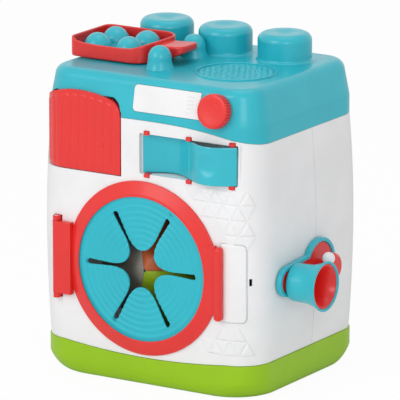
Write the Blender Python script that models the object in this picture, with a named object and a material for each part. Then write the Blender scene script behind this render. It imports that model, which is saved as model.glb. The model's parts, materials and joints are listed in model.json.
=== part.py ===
"""Toy washing machine: housing shells, star-slotted door, crank-driven drum, hopper flap and tip-up tray.

Metres, +Z up. The origin is the middle of the base's underside, +X is the right-hand side seen from
the front, and the front faces -Y.
"""
import math

import bmesh
import bpy
from mathutils import Matrix, Vector

MM = 0.001
DEG = math.radians(1.0)

# Fits and mesh fineness
GAP = 0.3 * MM
OVERRUN = 2.0 * MM
ROUND_STEPS = 20
FINE_STEPS = 42
DRUM_STEPS = 36
SMALL_STEPS = 12

# Housing
HOUSING_WIDTH = 214.4 * MM
HOUSING_DEPTH = 172.0 * MM
CORNER_RADIUS = 28.0 * MM
WALL = 2.5 * MM
CORNER_STEPS = 6
FRONT_STEPS = 7
WALL_LEVELS = 4
PARTING_Y = 6.0 * MM
WIDEST_HEIGHT = 125.0 * MM
TUCK_REACH = 85.0 * MM
LOW_TUCK = 3.1 * MM
HIGH_TUCK = 4.4 * MM
BASE_SEAM_HEIGHT = 29.4 * MM
BASE_SEAM_DIP = 5.0 * MM
BASE_SEAM_REACH = 78.0 * MM
TOP_SEAM_HEIGHT = 210.8 * MM
TOP_SEAM_RISE = 11.3 * MM
TOP_SEAM_REACH = 104.0 * MM
TOP_SEAM_POWER = 2.5

# Base tray
BASE_LIP = 1.0 * MM
BASE_FLOOR = 3.0 * MM
BASE_ROUND_HEIGHT = 15.0 * MM
BASE_ROUND_INSET = 9.0 * MM
BASE_CORNER_EXTRA = 14.0 * MM
BASE_ROW_SHARES = (0.0, 0.1, 0.3, 0.6, 1.0)

# Top shell
DECK_HEIGHT = 255.5 * MM
DECK_CROWN = 1.0 * MM
SLOPE_START_RISE = 4.0 * MM
SLOPE_INSET = 4.0 * MM
DECK_ROLL = 9.0 * MM
DECK_ROLL_LEVELS = 4
DECK_RING_SHARES = (0.6, 0.15)

# Building studs on the deck
STUD_PITCH = 56.9 * MM
STUD_Y = 38.8 * MM
STUD_RADIUS = 22.3 * MM
STUD_TOP_HEIGHT = 278.9 * MM
STUD_EDGE_ROUND = 6.5 * MM
STUD_DISH_RADIUS = 12.0 * MM
STUD_DISH_DEPTH = 1.5 * MM
STUD_FOOT_WIDTH = 1.6 * MM
STUD_FOOT_HEIGHT = 2.4 * MM
STUD_DISH_FLOOR_SHARE = 0.4
STUD_COUNT = 3

# Round textured recess on the deck
PAD_X = 48.5 * MM
PAD_Y = -23.0 * MM
PAD_RADIUS = 33.5 * MM
PAD_DEPTH = 1.6 * MM
PAD_RIM_WIDTH = 1.8 * MM
PAD_RIM_HEIGHT = 0.6 * MM

# Hinge posts of the tip-up tray
POST_X = -11.5 * MM
POST_MIDDLE_Y = -17.5 * MM
POST_SPREAD = 52.0 * MM
POST_FOOT_RADIUS = 11.6 * MM
POST_WAIST_RADIUS = 9.4 * MM
POST_TOP_HEIGHT = 274.8 * MM
PIVOT_HEIGHT = 265.3 * MM
TRAY_PIN_RADIUS = 1.8 * MM
TRAY_PIN_SEAT = 6.0 * MM

# Tip-up tray
TRAY_LEFT_X = -97.9 * MM
TRAY_RIGHT_X = -24.0 * MM
TRAY_DEPTH = 59.0 * MM
TRAY_BOTTOM_HEIGHT = 257.2 * MM
TRAY_END_HEIGHT = 273.5 * MM
TRAY_MIDDLE_HEIGHT = 268.8 * MM
TRAY_WALL = 2.2 * MM
TRAY_FLOOR = 2.0 * MM
TRAY_LEFT_ROUND = 7.0 * MM
TRAY_RIGHT_ROUND = 17.0 * MM
TONGUE_WIDTH = 26.4 * MM
TONGUE_TIP_X = 2.6 * MM
TONGUE_TOP_HEIGHT = 270.9 * MM
TONGUE_TIP_HEIGHT = 272.5 * MM
TONGUE_TIP_THICKNESS = 5.0 * MM
TONGUE_ROOT_HEIGHT = 259.7 * MM
TONGUE_BEND_SHARE = 0.35
TONGUE_CORNER = 7.0 * MM
TONGUE_CORNER_SHARE = 0.7

# Bubble panel in the tray
BUBBLE_RADIUS = 11.8 * MM
BUBBLE_HEIGHT = 13.2 * MM
BUBBLE_PITCH_X = 30.6 * MM
BUBBLE_PITCH_Y = 27.2 * MM
BUBBLE_OFFSET_X = -3.4 * MM
BUBBLE_SHEET = 1.6 * MM
BUBBLE_SHEET_HEIGHT = 262.4 * MM
DOME_STEPS = 20
DOME_ANGLES = (0, 20, 40, 60, 78)

# Drive axis
DRIVE_HEIGHT = 97.3 * MM

# Door
DOOR_HEIGHT = 99.5 * MM
DOOR_FACE_Y = -91.0 * MM
DOOR_SEAT_Y = -HOUSING_DEPTH / 2
STAR_RADIUS = 60.0 * MM
FRAME_RADIUS = 72.6 * MM
FRAME_EDGE_THICKNESS = 1.4 * MM
FRAME_LIP_THICKNESS = 0.8 * MM
FRAME_REBATE_RADIUS = 63.0 * MM
COLLAR_RADIUS = 66.0 * MM
COLLAR_DEPTH = 4.0 * MM
DOOR_RUN_CLEARANCE = 1.0 * MM
FRAME_CROWN = 2.0 * MM

# Door side blocks
HINGE_X = -83.2 * MM
HINGE_Y = -88.3 * MM
BARREL_RADIUS = 3.2 * MM
HINGE_PIN_RADIUS = 1.5 * MM
BLOCK_LOW_DROP = 31.0 * MM
BLOCK_HIGH_RISE = 29.4 * MM
BLOCK_THICKNESS = 4.0 * MM
HINGE_EAR_HEIGHT = 4.0 * MM
HINGE_EAR_RADIUS = 3.0 * MM
GRIP_LEFT_X = 69.8 * MM
GRIP_WIDTH = 7.0 * MM
GRIP_THICKNESS = 5.6 * MM
GRIP_LOW_DROP = 33.0 * MM
GRIP_HIGH_RISE = 28.5 * MM
TAB_LOW_DROP = 29.0 * MM
TAB_HIGH_RISE = 28.5 * MM
TAB_LEFT_X = 63.5 * MM
BRACKET_PLATE = 2.4 * MM
BRACKET_LIP = 2.5 * MM

# Star membrane
STAR_SLOTS = 6
STAR_SHEET = 1.8 * MM
SLOT_TIP_REACH = 52.0 * MM
SLOT_TIP_RADIUS = 2.3 * MM
SLOT_WAIST_REACH = 30.0 * MM
SLOT_WAIST_HALF = 1.3 * MM
PETAL_TIP_REACH = 15.3 * MM
SLOT_BEND_POINTS = 5
PETAL_COLUMNS = 4
SLOT_PULL_SHARE = 0.55
RETAINER_INNER = 57.5 * MM

# Catch plate
CATCH_LEFT_X = 73.4 * MM
CATCH_ARC = 17.0 * MM
CATCH_PROUD = 1.2 * MM
CATCH_SEAT = 1.2 * MM
CATCH_LOW_DROP = 34.0 * MM
CATCH_HIGH_RISE = 31.0 * MM
CATCH_ROUND = 5.0 * MM
SLOT_HOLE_ARC = 17.6 * MM
SLOT_HOLE_HALF_WIDTH = 1.3 * MM
SLOT_HOLE_HALF_HEIGHT = 3.0 * MM
CATCH_STEPS = 12

# Window and wave panel
WINDOW_LEFT_X = -4.1 * MM
WINDOW_WIDTH = 92.0 * MM
WINDOW_LOW = 178.1 * MM
WINDOW_HIGH = 211.4 * MM
WINDOW_POCKET_DEPTH = 32.0 * MM
POCKET_WALL = 2.0 * MM
WAVE_LEFT_MARGIN = 3.4 * MM
WAVE_RIGHT_MARGIN = 0.5 * MM
WAVE_EDGE_GAP = 1.0 * MM
WAVE_SHEET = 2.0 * MM
WAVE_MIDDLE_Y = -84.6 * MM
WAVE_SWELL = 10.6 * MM
WAVE_STEPS = 20
CLIP_WIDTH = 4.4 * MM
CLIP_HEIGHT = 2.4 * MM
CLIP_PROUD = 1.6 * MM
CLIP_END_INSET = 4.0 * MM
WAVE_PIN_RADIUS = 1.0 * MM
WINDOW_ROUND = 1.2 * MM
WAVE_BARREL_RADIUS = 2.2 * MM
CLIP_BACK = 2.0 * MM

# Hopper flap
FLAP_RIGHT_X = -22.4 * MM
FLAP_LOW = 173.9 * MM
FLAP_PEAK = 239.9 * MM
FLAP_PEAK_X = -64.0 * MM
FLAP_RIGHT_HEIGHT = 232.1 * MM
FLAP_LEFT_HEIGHT = 230.4 * MM
FLAP_CORNER = 9.0 * MM
FLAP_END_ANGLE = 54.0
FLAP_PROUD = 0.4 * MM
FLAP_PLAN_HEIGHT = 203.0 * MM
FLAP_LID_OVERLAP = 2.6 * MM
FLAP_SHEET = 2.4 * MM
FLAP_GAP = 0.9 * MM
FLAP_GRIP_GAP = 3.0 * MM
FLAP_RIB_PITCH = 8.3 * MM
FLAP_RIB_HEIGHT = 0.9 * MM
FLAP_PIN_RADIUS = 1.2 * MM
FLAP_BARREL_RADIUS = 2.2 * MM
HOPPER_DEPTH = 42.0 * MM
HOPPER_WALL = 2.0 * MM
FLAP_END_ROUND = 8.0 * MM
FLAP_OPENING_STEPS = 24
FLAP_OPENING_ROUND = 2.0 * MM
FLAP_RIB_SEGMENTS = 4
FLAP_ROW_SHARES = (0.84, 1.0)
FLAP_END_STUB = 1.0 * MM
FLAP_HINGE_GAP = 3.7 * MM
FLAP_KNUCKLE_INSET = 12.0 * MM
FLAP_EAR_CLEARANCE = 0.8 * MM
FLAP_WEB_DEPTH = 20.0 * MM
FLAP_EAR_DEPTH = 5.0 * MM
FLAP_EAR_HEIGHT = 3.0 * MM

# Label plate and knob on the sloping front
LABEL_LEFT_X = -10.6 * MM
LABEL_RIGHT_X = 50.0 * MM
LABEL_LOW = 228.9 * MM
LABEL_HIGH = 250.3 * MM
LABEL_PROUD = 0.7 * MM
LABEL_SEAT = 0.9 * MM
LABEL_ROUND = 3.4 * MM
KNOB_X = 68.2 * MM
KNOB_HEIGHT = 237.6 * MM
KNOB_RADIUS = 14.2 * MM
KNOB_LENGTH = 8.6 * MM
KNOB_RIBS = 30
KNOB_RIB_DEPTH = 0.7 * MM
KNOB_BEZEL_GAP = 2.2 * MM
KNOB_SHAFT_RADIUS = 3.0 * MM
KNOB_FACE_ROUND = 1.6 * MM
KNOB_SHAFT_LENGTH = 7.0 * MM
KNOB_WASHER = 1.8 * MM

# Drum
DRUM_RADIUS = 70.0 * MM
DRUM_WALL = 2.2 * MM
DRUM_FRONT_Y = -78.5 * MM
DRUM_BACK_Y = -31.0 * MM
CONE_TIP_Y = -85.8 * MM
CONE_BASE_Y = -46.0 * MM
SECTOR_SHEET = 2.0 * MM
SECTOR_TURN = 0.0
AXLE_RADIUS = 4.0 * MM
HUB_RADIUS = 9.0 * MM
HUB_BACK_Y = -18.0 * MM
AXLE_END_Y = 79.0 * MM
BEARING_WALL = 3.0 * MM
BOSS_FRONT_Y = 30.0 * MM
BOSS_RADIUS = 11.0 * MM
CONE_BLUNT = 1.5 * MM
AXLE_START_Y = -60.0 * MM
SECTOR_STEPS = 14
SECTOR_ROWS = 3

# Gears
PINION_TEETH = 10
CROWN_TEETH = 30
PINION_PITCH_RADIUS = 12.0 * MM
TOOTH_REACH = 1.9 * MM
TOOTH_ROOT = 2.7 * MM
TOOTH_TIP_SHARE = 0.22
TOOTH_FOOT_SHARE = 0.42
GEAR_FACE = 6.0 * MM
CROWN_PLATE = 4.0 * MM
PINION_PHASE = 90.0

# Crank
CRANK_SHAFT_RADIUS = 4.0 * MM
LEVER_BACK_GAP = 0.6 * MM
LEVER_THICKNESS = 4.6 * MM
LEVER_EYE_RADIUS = 23.0 * MM
LEVER_ARM_HALF = 12.7 * MM
LEVER_ARM_REACH = 51.0 * MM
LEVER_DROP = 2.5 * MM
LEVER_RIM = 3.4 * MM
LEVER_RECESS = 1.2 * MM
FACE_THICKNESS = 1.2 * MM
HORN_REACH = 41.4 * MM
HORN_FOOT_RADIUS = 15.5 * MM
HORN_MOUTH_RADIUS = 20.6 * MM
HORN_LENGTH = 29.0 * MM
HORN_WALL = 1.9 * MM
HORN_FLOOR = 3.0 * MM
LINER_WALL = 1.6 * MM
HORN_PIN_RADIUS = 3.0 * MM
CAP_RADIUS = 11.8 * MM
CAP_STEM_RADIUS = 5.0 * MM
CAP_STEM_LENGTH = 11.0 * MM
CAP_HEIGHT = 4.2 * MM
BEAD_RADIUS = 5.2 * MM
BEAD_ANGLE = 134.0
BEAD_REACH = 13.2 * MM
BEAD_PIN_RADIUS = 1.3 * MM
BEAD_PIN_REACH = 9.6 * MM
BEAD_RISE = 2.4 * MM
SHAFT_IN_LEVER = 1.6 * MM
BUSH_RADIUS = 7.0 * MM
BUSH_FLANGE_RADIUS = 11.0 * MM
BUSH_INNER_X = 48.0 * MM
FLANGE_CLEARANCE = 1.0 * MM
HORN_DROP = 4.6 * MM
HORN_STRAIGHT_SHARE = 0.45
HORN_BEND_SHARE = 0.75
HORN_SWELL_SHARE = 0.35
HORN_PIN_HEAD = 1.6 * MM
LINER_SETBACK = 0.8 * MM
HORN_PIN_SEAT = 1.4 * MM

# Screws
SCREW_HEAD_RADIUS = 3.4 * MM
SCREW_HEAD_HEIGHT = 2.4 * MM
SCREW_SHANK_RADIUS = 1.5 * MM
SCREW_LENGTH = 14.0 * MM
SCREW_WELL_DEPTH = 4.0 * MM
SCREW_BOSS_RADIUS = 6.0 * MM
BASE_SCREW_X = 80.0 * MM
BASE_SCREW_Y = 62.0 * MM
BASE_BOSS_HEIGHT = 8.0 * MM
SHELL_BOSS_HEIGHT = 34.0 * MM
BOSS_RIB_START_SHARE = 0.7

# Values that follow from others
HALF_DEPTH = HOUSING_DEPTH / 2
TRAY_PIN_GAP = POST_SPREAD / 2 - POST_FOOT_RADIUS - TONGUE_WIDTH / 2
SLOPE_LEAN = math.atan2(SLOPE_INSET, DECK_HEIGHT - DECK_ROLL - TOP_SEAM_HEIGHT - TOP_SEAM_RISE
                        - SLOPE_START_RISE)

# Colours
COLOURS = {
    "teal": (0.045, 0.50, 0.60),
    "red": (0.80, 0.06, 0.05),
    "lime": (0.32, 0.55, 0.025),
    "white": (0.87, 0.87, 0.88),
    "grey": (0.14, 0.14, 0.13),
    "orange": (0.72, 0.14, 0.02),
    "steel": (0.55, 0.55, 0.57),
    "natural": (0.75, 0.74, 0.70),
}


def clear_scene():
    """Remove everything that the file opened with."""
    for thing in list(bpy.data.objects):
        bpy.data.objects.remove(thing, do_unlink=True)


def plastic(name, colour, roughness=0.35, metallic=0.0):
    """A plain moulded material, or a metal one."""
    stuff = bpy.data.materials.new(name)
    stuff.use_nodes = True
    shader = stuff.node_tree.nodes["Principled BSDF"]
    shader.inputs["Base Color"].default_value = (*colour, 1.0)
    shader.inputs["Roughness"].default_value = roughness
    shader.inputs["Metallic"].default_value = metallic
    stuff.diffuse_color = (*colour, 1.0)
    return stuff


def place(name, bm, colour, crease=40.0):
    """Turn a finished bmesh into a named object with its own material."""
    bmesh.ops.recalc_face_normals(bm, faces=bm.faces)
    mesh = bpy.data.meshes.new(name)
    bm.to_mesh(mesh)
    bm.free()
    metallic = 1.0 if colour == "steel" else 0.0
    mesh.materials.append(plastic(name + "_finish", COLOURS[colour], metallic=metallic))
    mesh.shade_smooth()
    mesh.set_sharp_from_angle(angle=crease * DEG)
    thing = bpy.data.objects.new(name, mesh)
    bpy.context.scene.collection.objects.link(thing)
    return thing


def tool(name, bm):
    """A cutter or a filler: it shapes another piece and is no piece itself."""
    bmesh.ops.recalc_face_normals(bm, faces=bm.faces)
    mesh = bpy.data.meshes.new(name)
    bm.to_mesh(mesh)
    bm.free()
    thing = bpy.data.objects.new(name, mesh)
    bpy.context.scene.collection.objects.link(thing)
    thing.hide_render = True
    thing.display_type = "WIRE"
    return thing


def shape_by(piece, other, operation):
    """Cut a piece by another solid, join the other to it, or keep only what they share."""
    change = piece.modifiers.new(other.name, "BOOLEAN")
    change.operation = operation
    change.solver = "EXACT"
    change.object = other


def set_origin(thing, point):
    """Move an object's origin to a point and leave its shape where it is."""
    shift = Vector(point) - thing.location
    thing.data.transform(Matrix.Translation(-shift))
    thing.location = point


def along_x(point=(0.0, 0.0, 0.0)):
    """A frame whose local Z is world +X, at a point."""
    return Matrix.Translation(point) @ Matrix.Rotation(90 * DEG, 4, "Y")


def along_y(point=(0.0, 0.0, 0.0)):
    """A frame whose local Z is world +Y, at a point."""
    return Matrix.Translation(point) @ Matrix.Rotation(-90 * DEG, 4, "X")


def along_z(point=(0.0, 0.0, 0.0)):
    """A frame whose local Z is world +Z, at a point."""
    return Matrix.Translation(point)


def turned(profile, steps, frame, bm=None):
    """Spin a closed profile of (radius, height) points round a frame's Z axis."""
    bm = bm or bmesh.new()
    fresh = bmesh.new()
    corners = [fresh.verts.new((radius, 0.0, height)) for radius, height in profile]
    edges = [fresh.edges.new(pair) for pair in zip(corners, corners[1:])]
    if profile[0][0] > 0.0 or profile[-1][0] > 0.0:
        edges.append(fresh.edges.new((corners[-1], corners[0])))
    bmesh.ops.spin(fresh, geom=corners + edges, axis=(0, 0, 1), cent=(0, 0, 0),
                   angle=math.tau, steps=steps, use_merge=True)
    bmesh.ops.remove_doubles(fresh, verts=fresh.verts, dist=MM / 1000)
    bmesh.ops.transform(fresh, matrix=frame, verts=fresh.verts)
    bmesh.ops.recalc_face_normals(fresh, faces=fresh.faces)
    add_mesh(bm, fresh)
    return bm


def add_mesh(bm, fresh):
    """Copy one bmesh into another and free it."""
    mesh = bpy.data.meshes.new("joining")
    fresh.to_mesh(mesh)
    fresh.free()
    bm.from_mesh(mesh)
    bpy.data.meshes.remove(mesh)


def drum_shape(radius, low, high, steps, frame, bm=None):
    """A plain round bar between two heights of a frame."""
    return turned([(0.0, low), (radius, low), (radius, high), (0.0, high)], steps, frame, bm)


def pipe(inner, outer, low, high, steps, frame, bm=None):
    """A plain tube between two heights of a frame."""
    return turned([(inner, low), (outer, low), (outer, high), (inner, high)], steps, frame, bm)


def prism(outline, low, high, frame, bm=None):
    """Extrude a flat outline between two heights of a frame."""
    bm = bm or bmesh.new()
    fresh = bmesh.new()
    face = fresh.faces.new([fresh.verts.new((x, y, low)) for x, y in outline])
    pushed = bmesh.ops.extrude_face_region(fresh, geom=[face])
    moved = [part for part in pushed["geom"] if isinstance(part, bmesh.types.BMVert)]
    bmesh.ops.translate(fresh, verts=moved, vec=(0.0, 0.0, high - low))
    bmesh.ops.transform(fresh, matrix=frame, verts=fresh.verts)
    bmesh.ops.recalc_face_normals(fresh, faces=fresh.faces)
    add_mesh(bm, fresh)
    return bm


def block(low, high, bm=None):
    """A box between two corners."""
    outline = [(low[0], low[1]), (high[0], low[1]), (high[0], high[1]), (low[0], high[1])]
    return prism(outline, low[2], high[2], along_z(), bm)


def arc(middle_x, middle_y, radius, start, stop, steps):
    """Points on an arc, angles in degrees."""
    sweep = stop - start
    angles = [(start + sweep * step / steps) * DEG for step in range(steps + 1)]
    return [(middle_x + radius * math.cos(a), middle_y + radius * math.sin(a)) for a in angles]


def soft_box(left, right, low, high, radius, steps=4):
    """A rectangle outline with round corners, counter-clockwise."""
    return (arc(right - radius, low + radius, radius, -90, 0, steps)
            + arc(right - radius, high - radius, radius, 0, 90, steps)
            + arc(left + radius, high - radius, radius, 90, 180, steps)
            + arc(left + radius, low + radius, radius, 180, 270, steps))


def loft(rings, closed_path=True, capped=True, bm=None):
    """Skin rings of points that all have the same count, and close both ends."""
    bm = bm or bmesh.new()
    rows = [[bm.verts.new(point) for point in ring] for ring in rings]
    count = len(rows[0])
    last = count if closed_path else count - 1
    for lower, upper in zip(rows, rows[1:]):
        for i in range(last):
            j = (i + 1) % count
            bm.faces.new((lower[i], lower[j], upper[j], upper[i]))
    if capped:
        bm.faces.new(list(reversed(rows[0])))
        bm.faces.new(rows[-1])
    return bm


def slab(front, back, closed_path=False):
    """A curved plate between two grids of points: front[row][column] and back[row][column]."""
    bm = bmesh.new()
    near = [[bm.verts.new(point) for point in row] for row in front]
    far = [[bm.verts.new(point) for point in row] for row in back]
    rows = len(near)
    count = len(near[0])
    last = count if closed_path else count - 1
    for r in range(rows - 1):
        for i in range(last):
            j = (i + 1) % count
            bm.faces.new((near[r][i], near[r][j], near[r + 1][j], near[r + 1][i]))
            bm.faces.new((far[r][i], far[r + 1][i], far[r + 1][j], far[r][j]))
    for i in range(last):
        j = (i + 1) % count
        bm.faces.new((near[0][i], far[0][i], far[0][j], near[0][j]))
        bm.faces.new((near[-1][i], near[-1][j], far[-1][j], far[-1][i]))
    if not closed_path:
        for r in range(rows - 1):
            bm.faces.new((near[r][0], near[r + 1][0], far[r + 1][0], far[r][0]))
            bm.faces.new((near[r][-1], far[r][-1], far[r + 1][-1], near[r + 1][-1]))
    return bm


# Housing outline

def tuck(height):
    """How far the side walls draw in below and above the widest height."""
    share = (height - WIDEST_HEIGHT) / TUCK_REACH
    return (HIGH_TUCK if share > 0 else LOW_TUCK) * share * share


def half_width(height):
    return HOUSING_WIDTH / 2 - tuck(height)


def base_seam(x):
    """Height of the seam between the base tray and the shells."""
    share = min(1.0, abs(x) / BASE_SEAM_REACH)
    return BASE_SEAM_HEIGHT - BASE_SEAM_DIP * (1 - share * share)


def top_seam(x):
    """Height of the seam between the shells and the top shell."""
    share = min(1.0, abs(x) / TOP_SEAM_REACH)
    return TOP_SEAM_HEIGHT + TOP_SEAM_RISE * (1 - share ** TOP_SEAM_POWER)


def spread(start, stop, steps):
    return [start + (stop - start) * step / steps for step in range(steps + 1)]


def front_path(width, inset, rounder=0.0):
    """Half outline seen from above: left parting edge, front face, right parting edge."""
    radius = max(CORNER_RADIUS - inset + rounder, GAP)
    side = width - inset
    face = HALF_DEPTH - inset
    left = arc(radius - side, radius - face, radius, 180, 270, CORNER_STEPS)
    right = arc(side - radius, radius - face, radius, 270, 360, CORNER_STEPS)
    middle = [(x, -face) for x in spread(radius - side, side - radius, FRONT_STEPS)]
    return left + middle[1:-1] + right


def full_path(width, inset, rounder=0.0):
    """Closed outline seen from above, counter-clockwise."""
    front = front_path(width, inset, rounder)
    return front + [(-x, -y) for x, y in front]


def half_shell(front, thickness, outset=0.0):
    """One half of the white wall between its two seams, as a plate that follows the outline."""
    near = []
    far = []
    for level in range(WALL_LEVELS + 1):
        share = level / WALL_LEVELS
        rows = ([], [])
        for row, inset in zip(rows, (-outset, thickness)):
            height = BASE_SEAM_HEIGHT + (TOP_SEAM_HEIGHT - BASE_SEAM_HEIGHT) * share
            path = front_path(half_width(height), inset)
            edge = PARTING_Y - GAP / 2 if front else -PARTING_Y - GAP / 2
            path = [(path[0][0], edge)] + path + [(path[-1][0], edge)]
            for x, y in path:
                low = base_seam(x) + GAP / 2
                high = top_seam(x) - GAP / 2
                point = (x, y) if front else (-x, -y)
                row.append((point[0], point[1], low + (high - low) * share))
        near.append(rows[0])
        far.append(rows[1])
    return slab(near, far)


def deck_profile():
    """Rows (height above the seam share, height, inset) up the top shell's outside to the deck."""
    slope_low = TOP_SEAM_HEIGHT + TOP_SEAM_RISE + SLOPE_START_RISE
    slope_high = DECK_HEIGHT - DECK_ROLL * math.cos(SLOPE_LEAN)
    rows = [(slope_low, 0.0), (slope_high, SLOPE_INSET)]
    middle_inset = SLOPE_INSET + DECK_ROLL
    start = SLOPE_LEAN / DEG
    for step in range(1, DECK_ROLL_LEVELS + 1):
        angle = (start + (90 - start) * step / DECK_ROLL_LEVELS) * DEG
        rows.append((DECK_HEIGHT - DECK_ROLL * (1 - math.sin(angle)),
                     middle_inset - DECK_ROLL * math.cos(angle)))
    return rows


def slope_y(height):
    """Outside face of the sloping front at a height."""
    rows = deck_profile()
    low, high = rows[0], rows[1]
    share = (height - low[0]) / (high[0] - low[0])
    return -HALF_DEPTH + low[1] + (high[1] - low[1]) * share


def top_skin(offset, rim_drop):
    """Rings up the top shell, drawn in by an offset, from the seam to the crown of the deck."""
    rings = []
    width = half_width(TOP_SEAM_HEIGHT)
    path = full_path(width, offset)
    rings.append([(x, y, top_seam(x) + rim_drop) for x, y in path])
    lean = math.cos(SLOPE_LEAN)
    for height, inset in deck_profile():
        path = full_path(width, inset + offset)
        sink = offset * min(1.0, (inset / (SLOPE_INSET + DECK_ROLL)) ** 2) * lean
        rings.append([(x, y, height - sink) for x, y in path])
    edge = rings[-1]
    for share in DECK_RING_SHARES:
        lift = DECK_CROWN * (1 - share * share)
        rings.append([(x * share, y * share, edge[0][2] + lift) for x, y, z in edge])
    return rings


def make_top_shell():
    """Teal top: skirt, sloping sides, crowned deck, studs, hinge posts and the round pad recess."""
    outer = top_skin(0.0, GAP / 2)
    inner = top_skin(WALL, GAP / 2)
    bm = bmesh.new()
    loft(outer, capped=False, bm=bm)
    loft(inner, capped=False, bm=bm)
    bm.verts.ensure_lookup_table()
    count = len(outer[0])
    first_inner = count * len(outer)
    for i in range(count):
        j = (i + 1) % count
        bm.faces.new((bm.verts[i], bm.verts[j], bm.verts[first_inner + j], bm.verts[first_inner + i]))
    bm.faces.new([bm.verts[first_inner - count + i] for i in range(count)])
    bm.faces.new([bm.verts[2 * first_inner - count + i] for i in range(count)])
    shell = place("top_shell", bm, "teal", crease=35.0)
    for index in range(STUD_COUNT):
        x = (index - (STUD_COUNT - 1) / 2) * STUD_PITCH
        shape_by(shell, make_stud(x, index), "UNION")
    for sign in (-1, 1):
        shape_by(shell, make_post(sign), "UNION")
    shape_by(shell, pad_rim(), "UNION")
    shape_by(shell, pad_cutter(), "DIFFERENCE")
    for sign in (-1, 1):
        shape_by(shell, tray_pin_hole(sign), "DIFFERENCE")
    shape_by(shell, flap_opening("flap_opening_above"), "DIFFERENCE")
    shape_by(shell, label_recess(), "DIFFERENCE")
    shape_by(shell, knob_hole(), "DIFFERENCE")
    return shell


def make_stud(x, index):
    """A building stud: flared foot, straight side, round shoulder and a dished top."""
    top = STUD_TOP_HEIGHT
    low = DECK_HEIGHT - WALL / 2
    shoulder = arc(STUD_RADIUS - STUD_EDGE_ROUND, top - STUD_EDGE_ROUND, STUD_EDGE_ROUND, 0, 90, 3)
    foot = DECK_HEIGHT + DECK_CROWN + STUD_FOOT_HEIGHT
    profile = [(0.0, low), (STUD_RADIUS + STUD_FOOT_WIDTH, low),
               (STUD_RADIUS + STUD_FOOT_WIDTH, DECK_HEIGHT + DECK_CROWN), (STUD_RADIUS, foot)]
    profile += shoulder
    profile += [(STUD_DISH_RADIUS, top), (STUD_DISH_RADIUS * STUD_DISH_FLOOR_SHARE, top - STUD_DISH_DEPTH),
                (0.0, top - STUD_DISH_DEPTH)]
    return tool("stud_%d" % index, turned(profile, ROUND_STEPS, along_z((x, STUD_Y, 0.0))))


def post_y(sign):
    return POST_MIDDLE_Y + sign * POST_SPREAD / 2


def make_post(sign):
    """A tapered hinge post with a domed top."""
    low = DECK_HEIGHT - WALL / 2
    dome = arc(0.0, POST_TOP_HEIGHT - POST_WAIST_RADIUS, POST_WAIST_RADIUS, 10, 90, 3)
    profile = [(0.0, low), (POST_FOOT_RADIUS, low), (POST_FOOT_RADIUS, DECK_HEIGHT + DECK_CROWN)]
    profile += dome
    name = "post_front" if sign < 0 else "post_back"
    return tool(name, turned(profile, ROUND_STEPS, along_z((POST_X, post_y(sign), 0.0))))


def tray_pin_hole(sign):
    """Blind hole in the inner side of a post, on the tray's axis."""
    inner = POST_MIDDLE_Y + sign * (POST_SPREAD / 2 - POST_FOOT_RADIUS - OVERRUN)
    outer = POST_MIDDLE_Y + sign * (TONGUE_WIDTH / 2 + TRAY_PIN_SEAT + TRAY_PIN_GAP + GAP)
    low, high = sorted((inner, outer))
    bm = drum_shape(TRAY_PIN_RADIUS + GAP, low, high, SMALL_STEPS, along_y((POST_X, 0.0, PIVOT_HEIGHT)))
    return tool("pin_hole_%s" % ("front" if sign < 0 else "back"), bm)


def pad_rim():
    """Low raised ring round the textured recess."""
    top = DECK_HEIGHT + DECK_CROWN + PAD_RIM_HEIGHT
    bm = pipe(PAD_RADIUS - PAD_RIM_WIDTH, PAD_RADIUS, DECK_HEIGHT - WALL / 2, top, FINE_STEPS,
              along_z((PAD_X, PAD_Y, 0.0)))
    return tool("pad_rim", bm)


def pad_cutter():
    low = DECK_HEIGHT + DECK_CROWN - PAD_DEPTH
    high = STUD_TOP_HEIGHT
    bm = drum_shape(PAD_RADIUS - PAD_RIM_WIDTH, low, high, FINE_STEPS, along_z((PAD_X, PAD_Y, 0.0)))
    return tool("pad_recess", bm)


# Front and rear shells

def inner_space(name, clearance):
    """The room inside the walls and the top shell, for trimming inner pieces."""
    rings = []
    inset = WALL + clearance
    for level in range(WALL_LEVELS + 1):
        height = BASE_SEAM_HEIGHT + (TOP_SEAM_HEIGHT - BASE_SEAM_HEIGHT) * level / WALL_LEVELS
        path = full_path(half_width(height), inset)
        rings.append([(x, y, height) for x, y in path])
    for ring in top_skin(inset, 0.0)[1:]:
        rings.append(ring)
    return tool(name, loft(rings))


def opening_cutter(name, outline, depth):
    """A flat outline in X and Z, pushed through the front wall."""
    frame = along_y((0.0, 0.0, 0.0)) @ Matrix.Scale(-1, 4, (0, 1, 0))
    low = -HALF_DEPTH - OVERRUN - OVERRUN
    return tool(name, prism(outline, low, low + depth, frame))


def make_front_shell():
    """White front wall with the door opening, window, flap opening and hinge slot."""
    shell = place("front_shell", half_shell(True, WALL), "white", crease=35.0)
    reach = WALL + 3 * OVERRUN
    low = -HALF_DEPTH - OVERRUN
    bm = drum_shape(COLLAR_RADIUS + DOOR_RUN_CLEARANCE, low, low + reach, FINE_STEPS,
                    along_y((0.0, 0.0, DOOR_HEIGHT)))
    shape_by(shell, tool("door_opening", bm), "DIFFERENCE")
    window = soft_box(WINDOW_LEFT_X, WINDOW_LEFT_X + WINDOW_WIDTH, WINDOW_LOW, WINDOW_HIGH, WINDOW_ROUND)
    shape_by(shell, opening_cutter("window_opening", window, CORNER_RADIUS), "DIFFERENCE")
    shape_by(shell, flap_opening("flap_opening_below"), "DIFFERENCE")
    shape_by(shell, hinge_slot(), "DIFFERENCE")
    shape_by(shell, catch_recess(), "DIFFERENCE")
    shape_by(shell, slot_hole(), "DIFFERENCE")
    for sign in (-1, 1):
        add_shell_boss(shell, sign, -1)
    shape_by(shell, bush_hole("bush_hole_front"), "DIFFERENCE")
    shape_by(shell, clip_notches("shell_notches"), "DIFFERENCE")
    return shell


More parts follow.
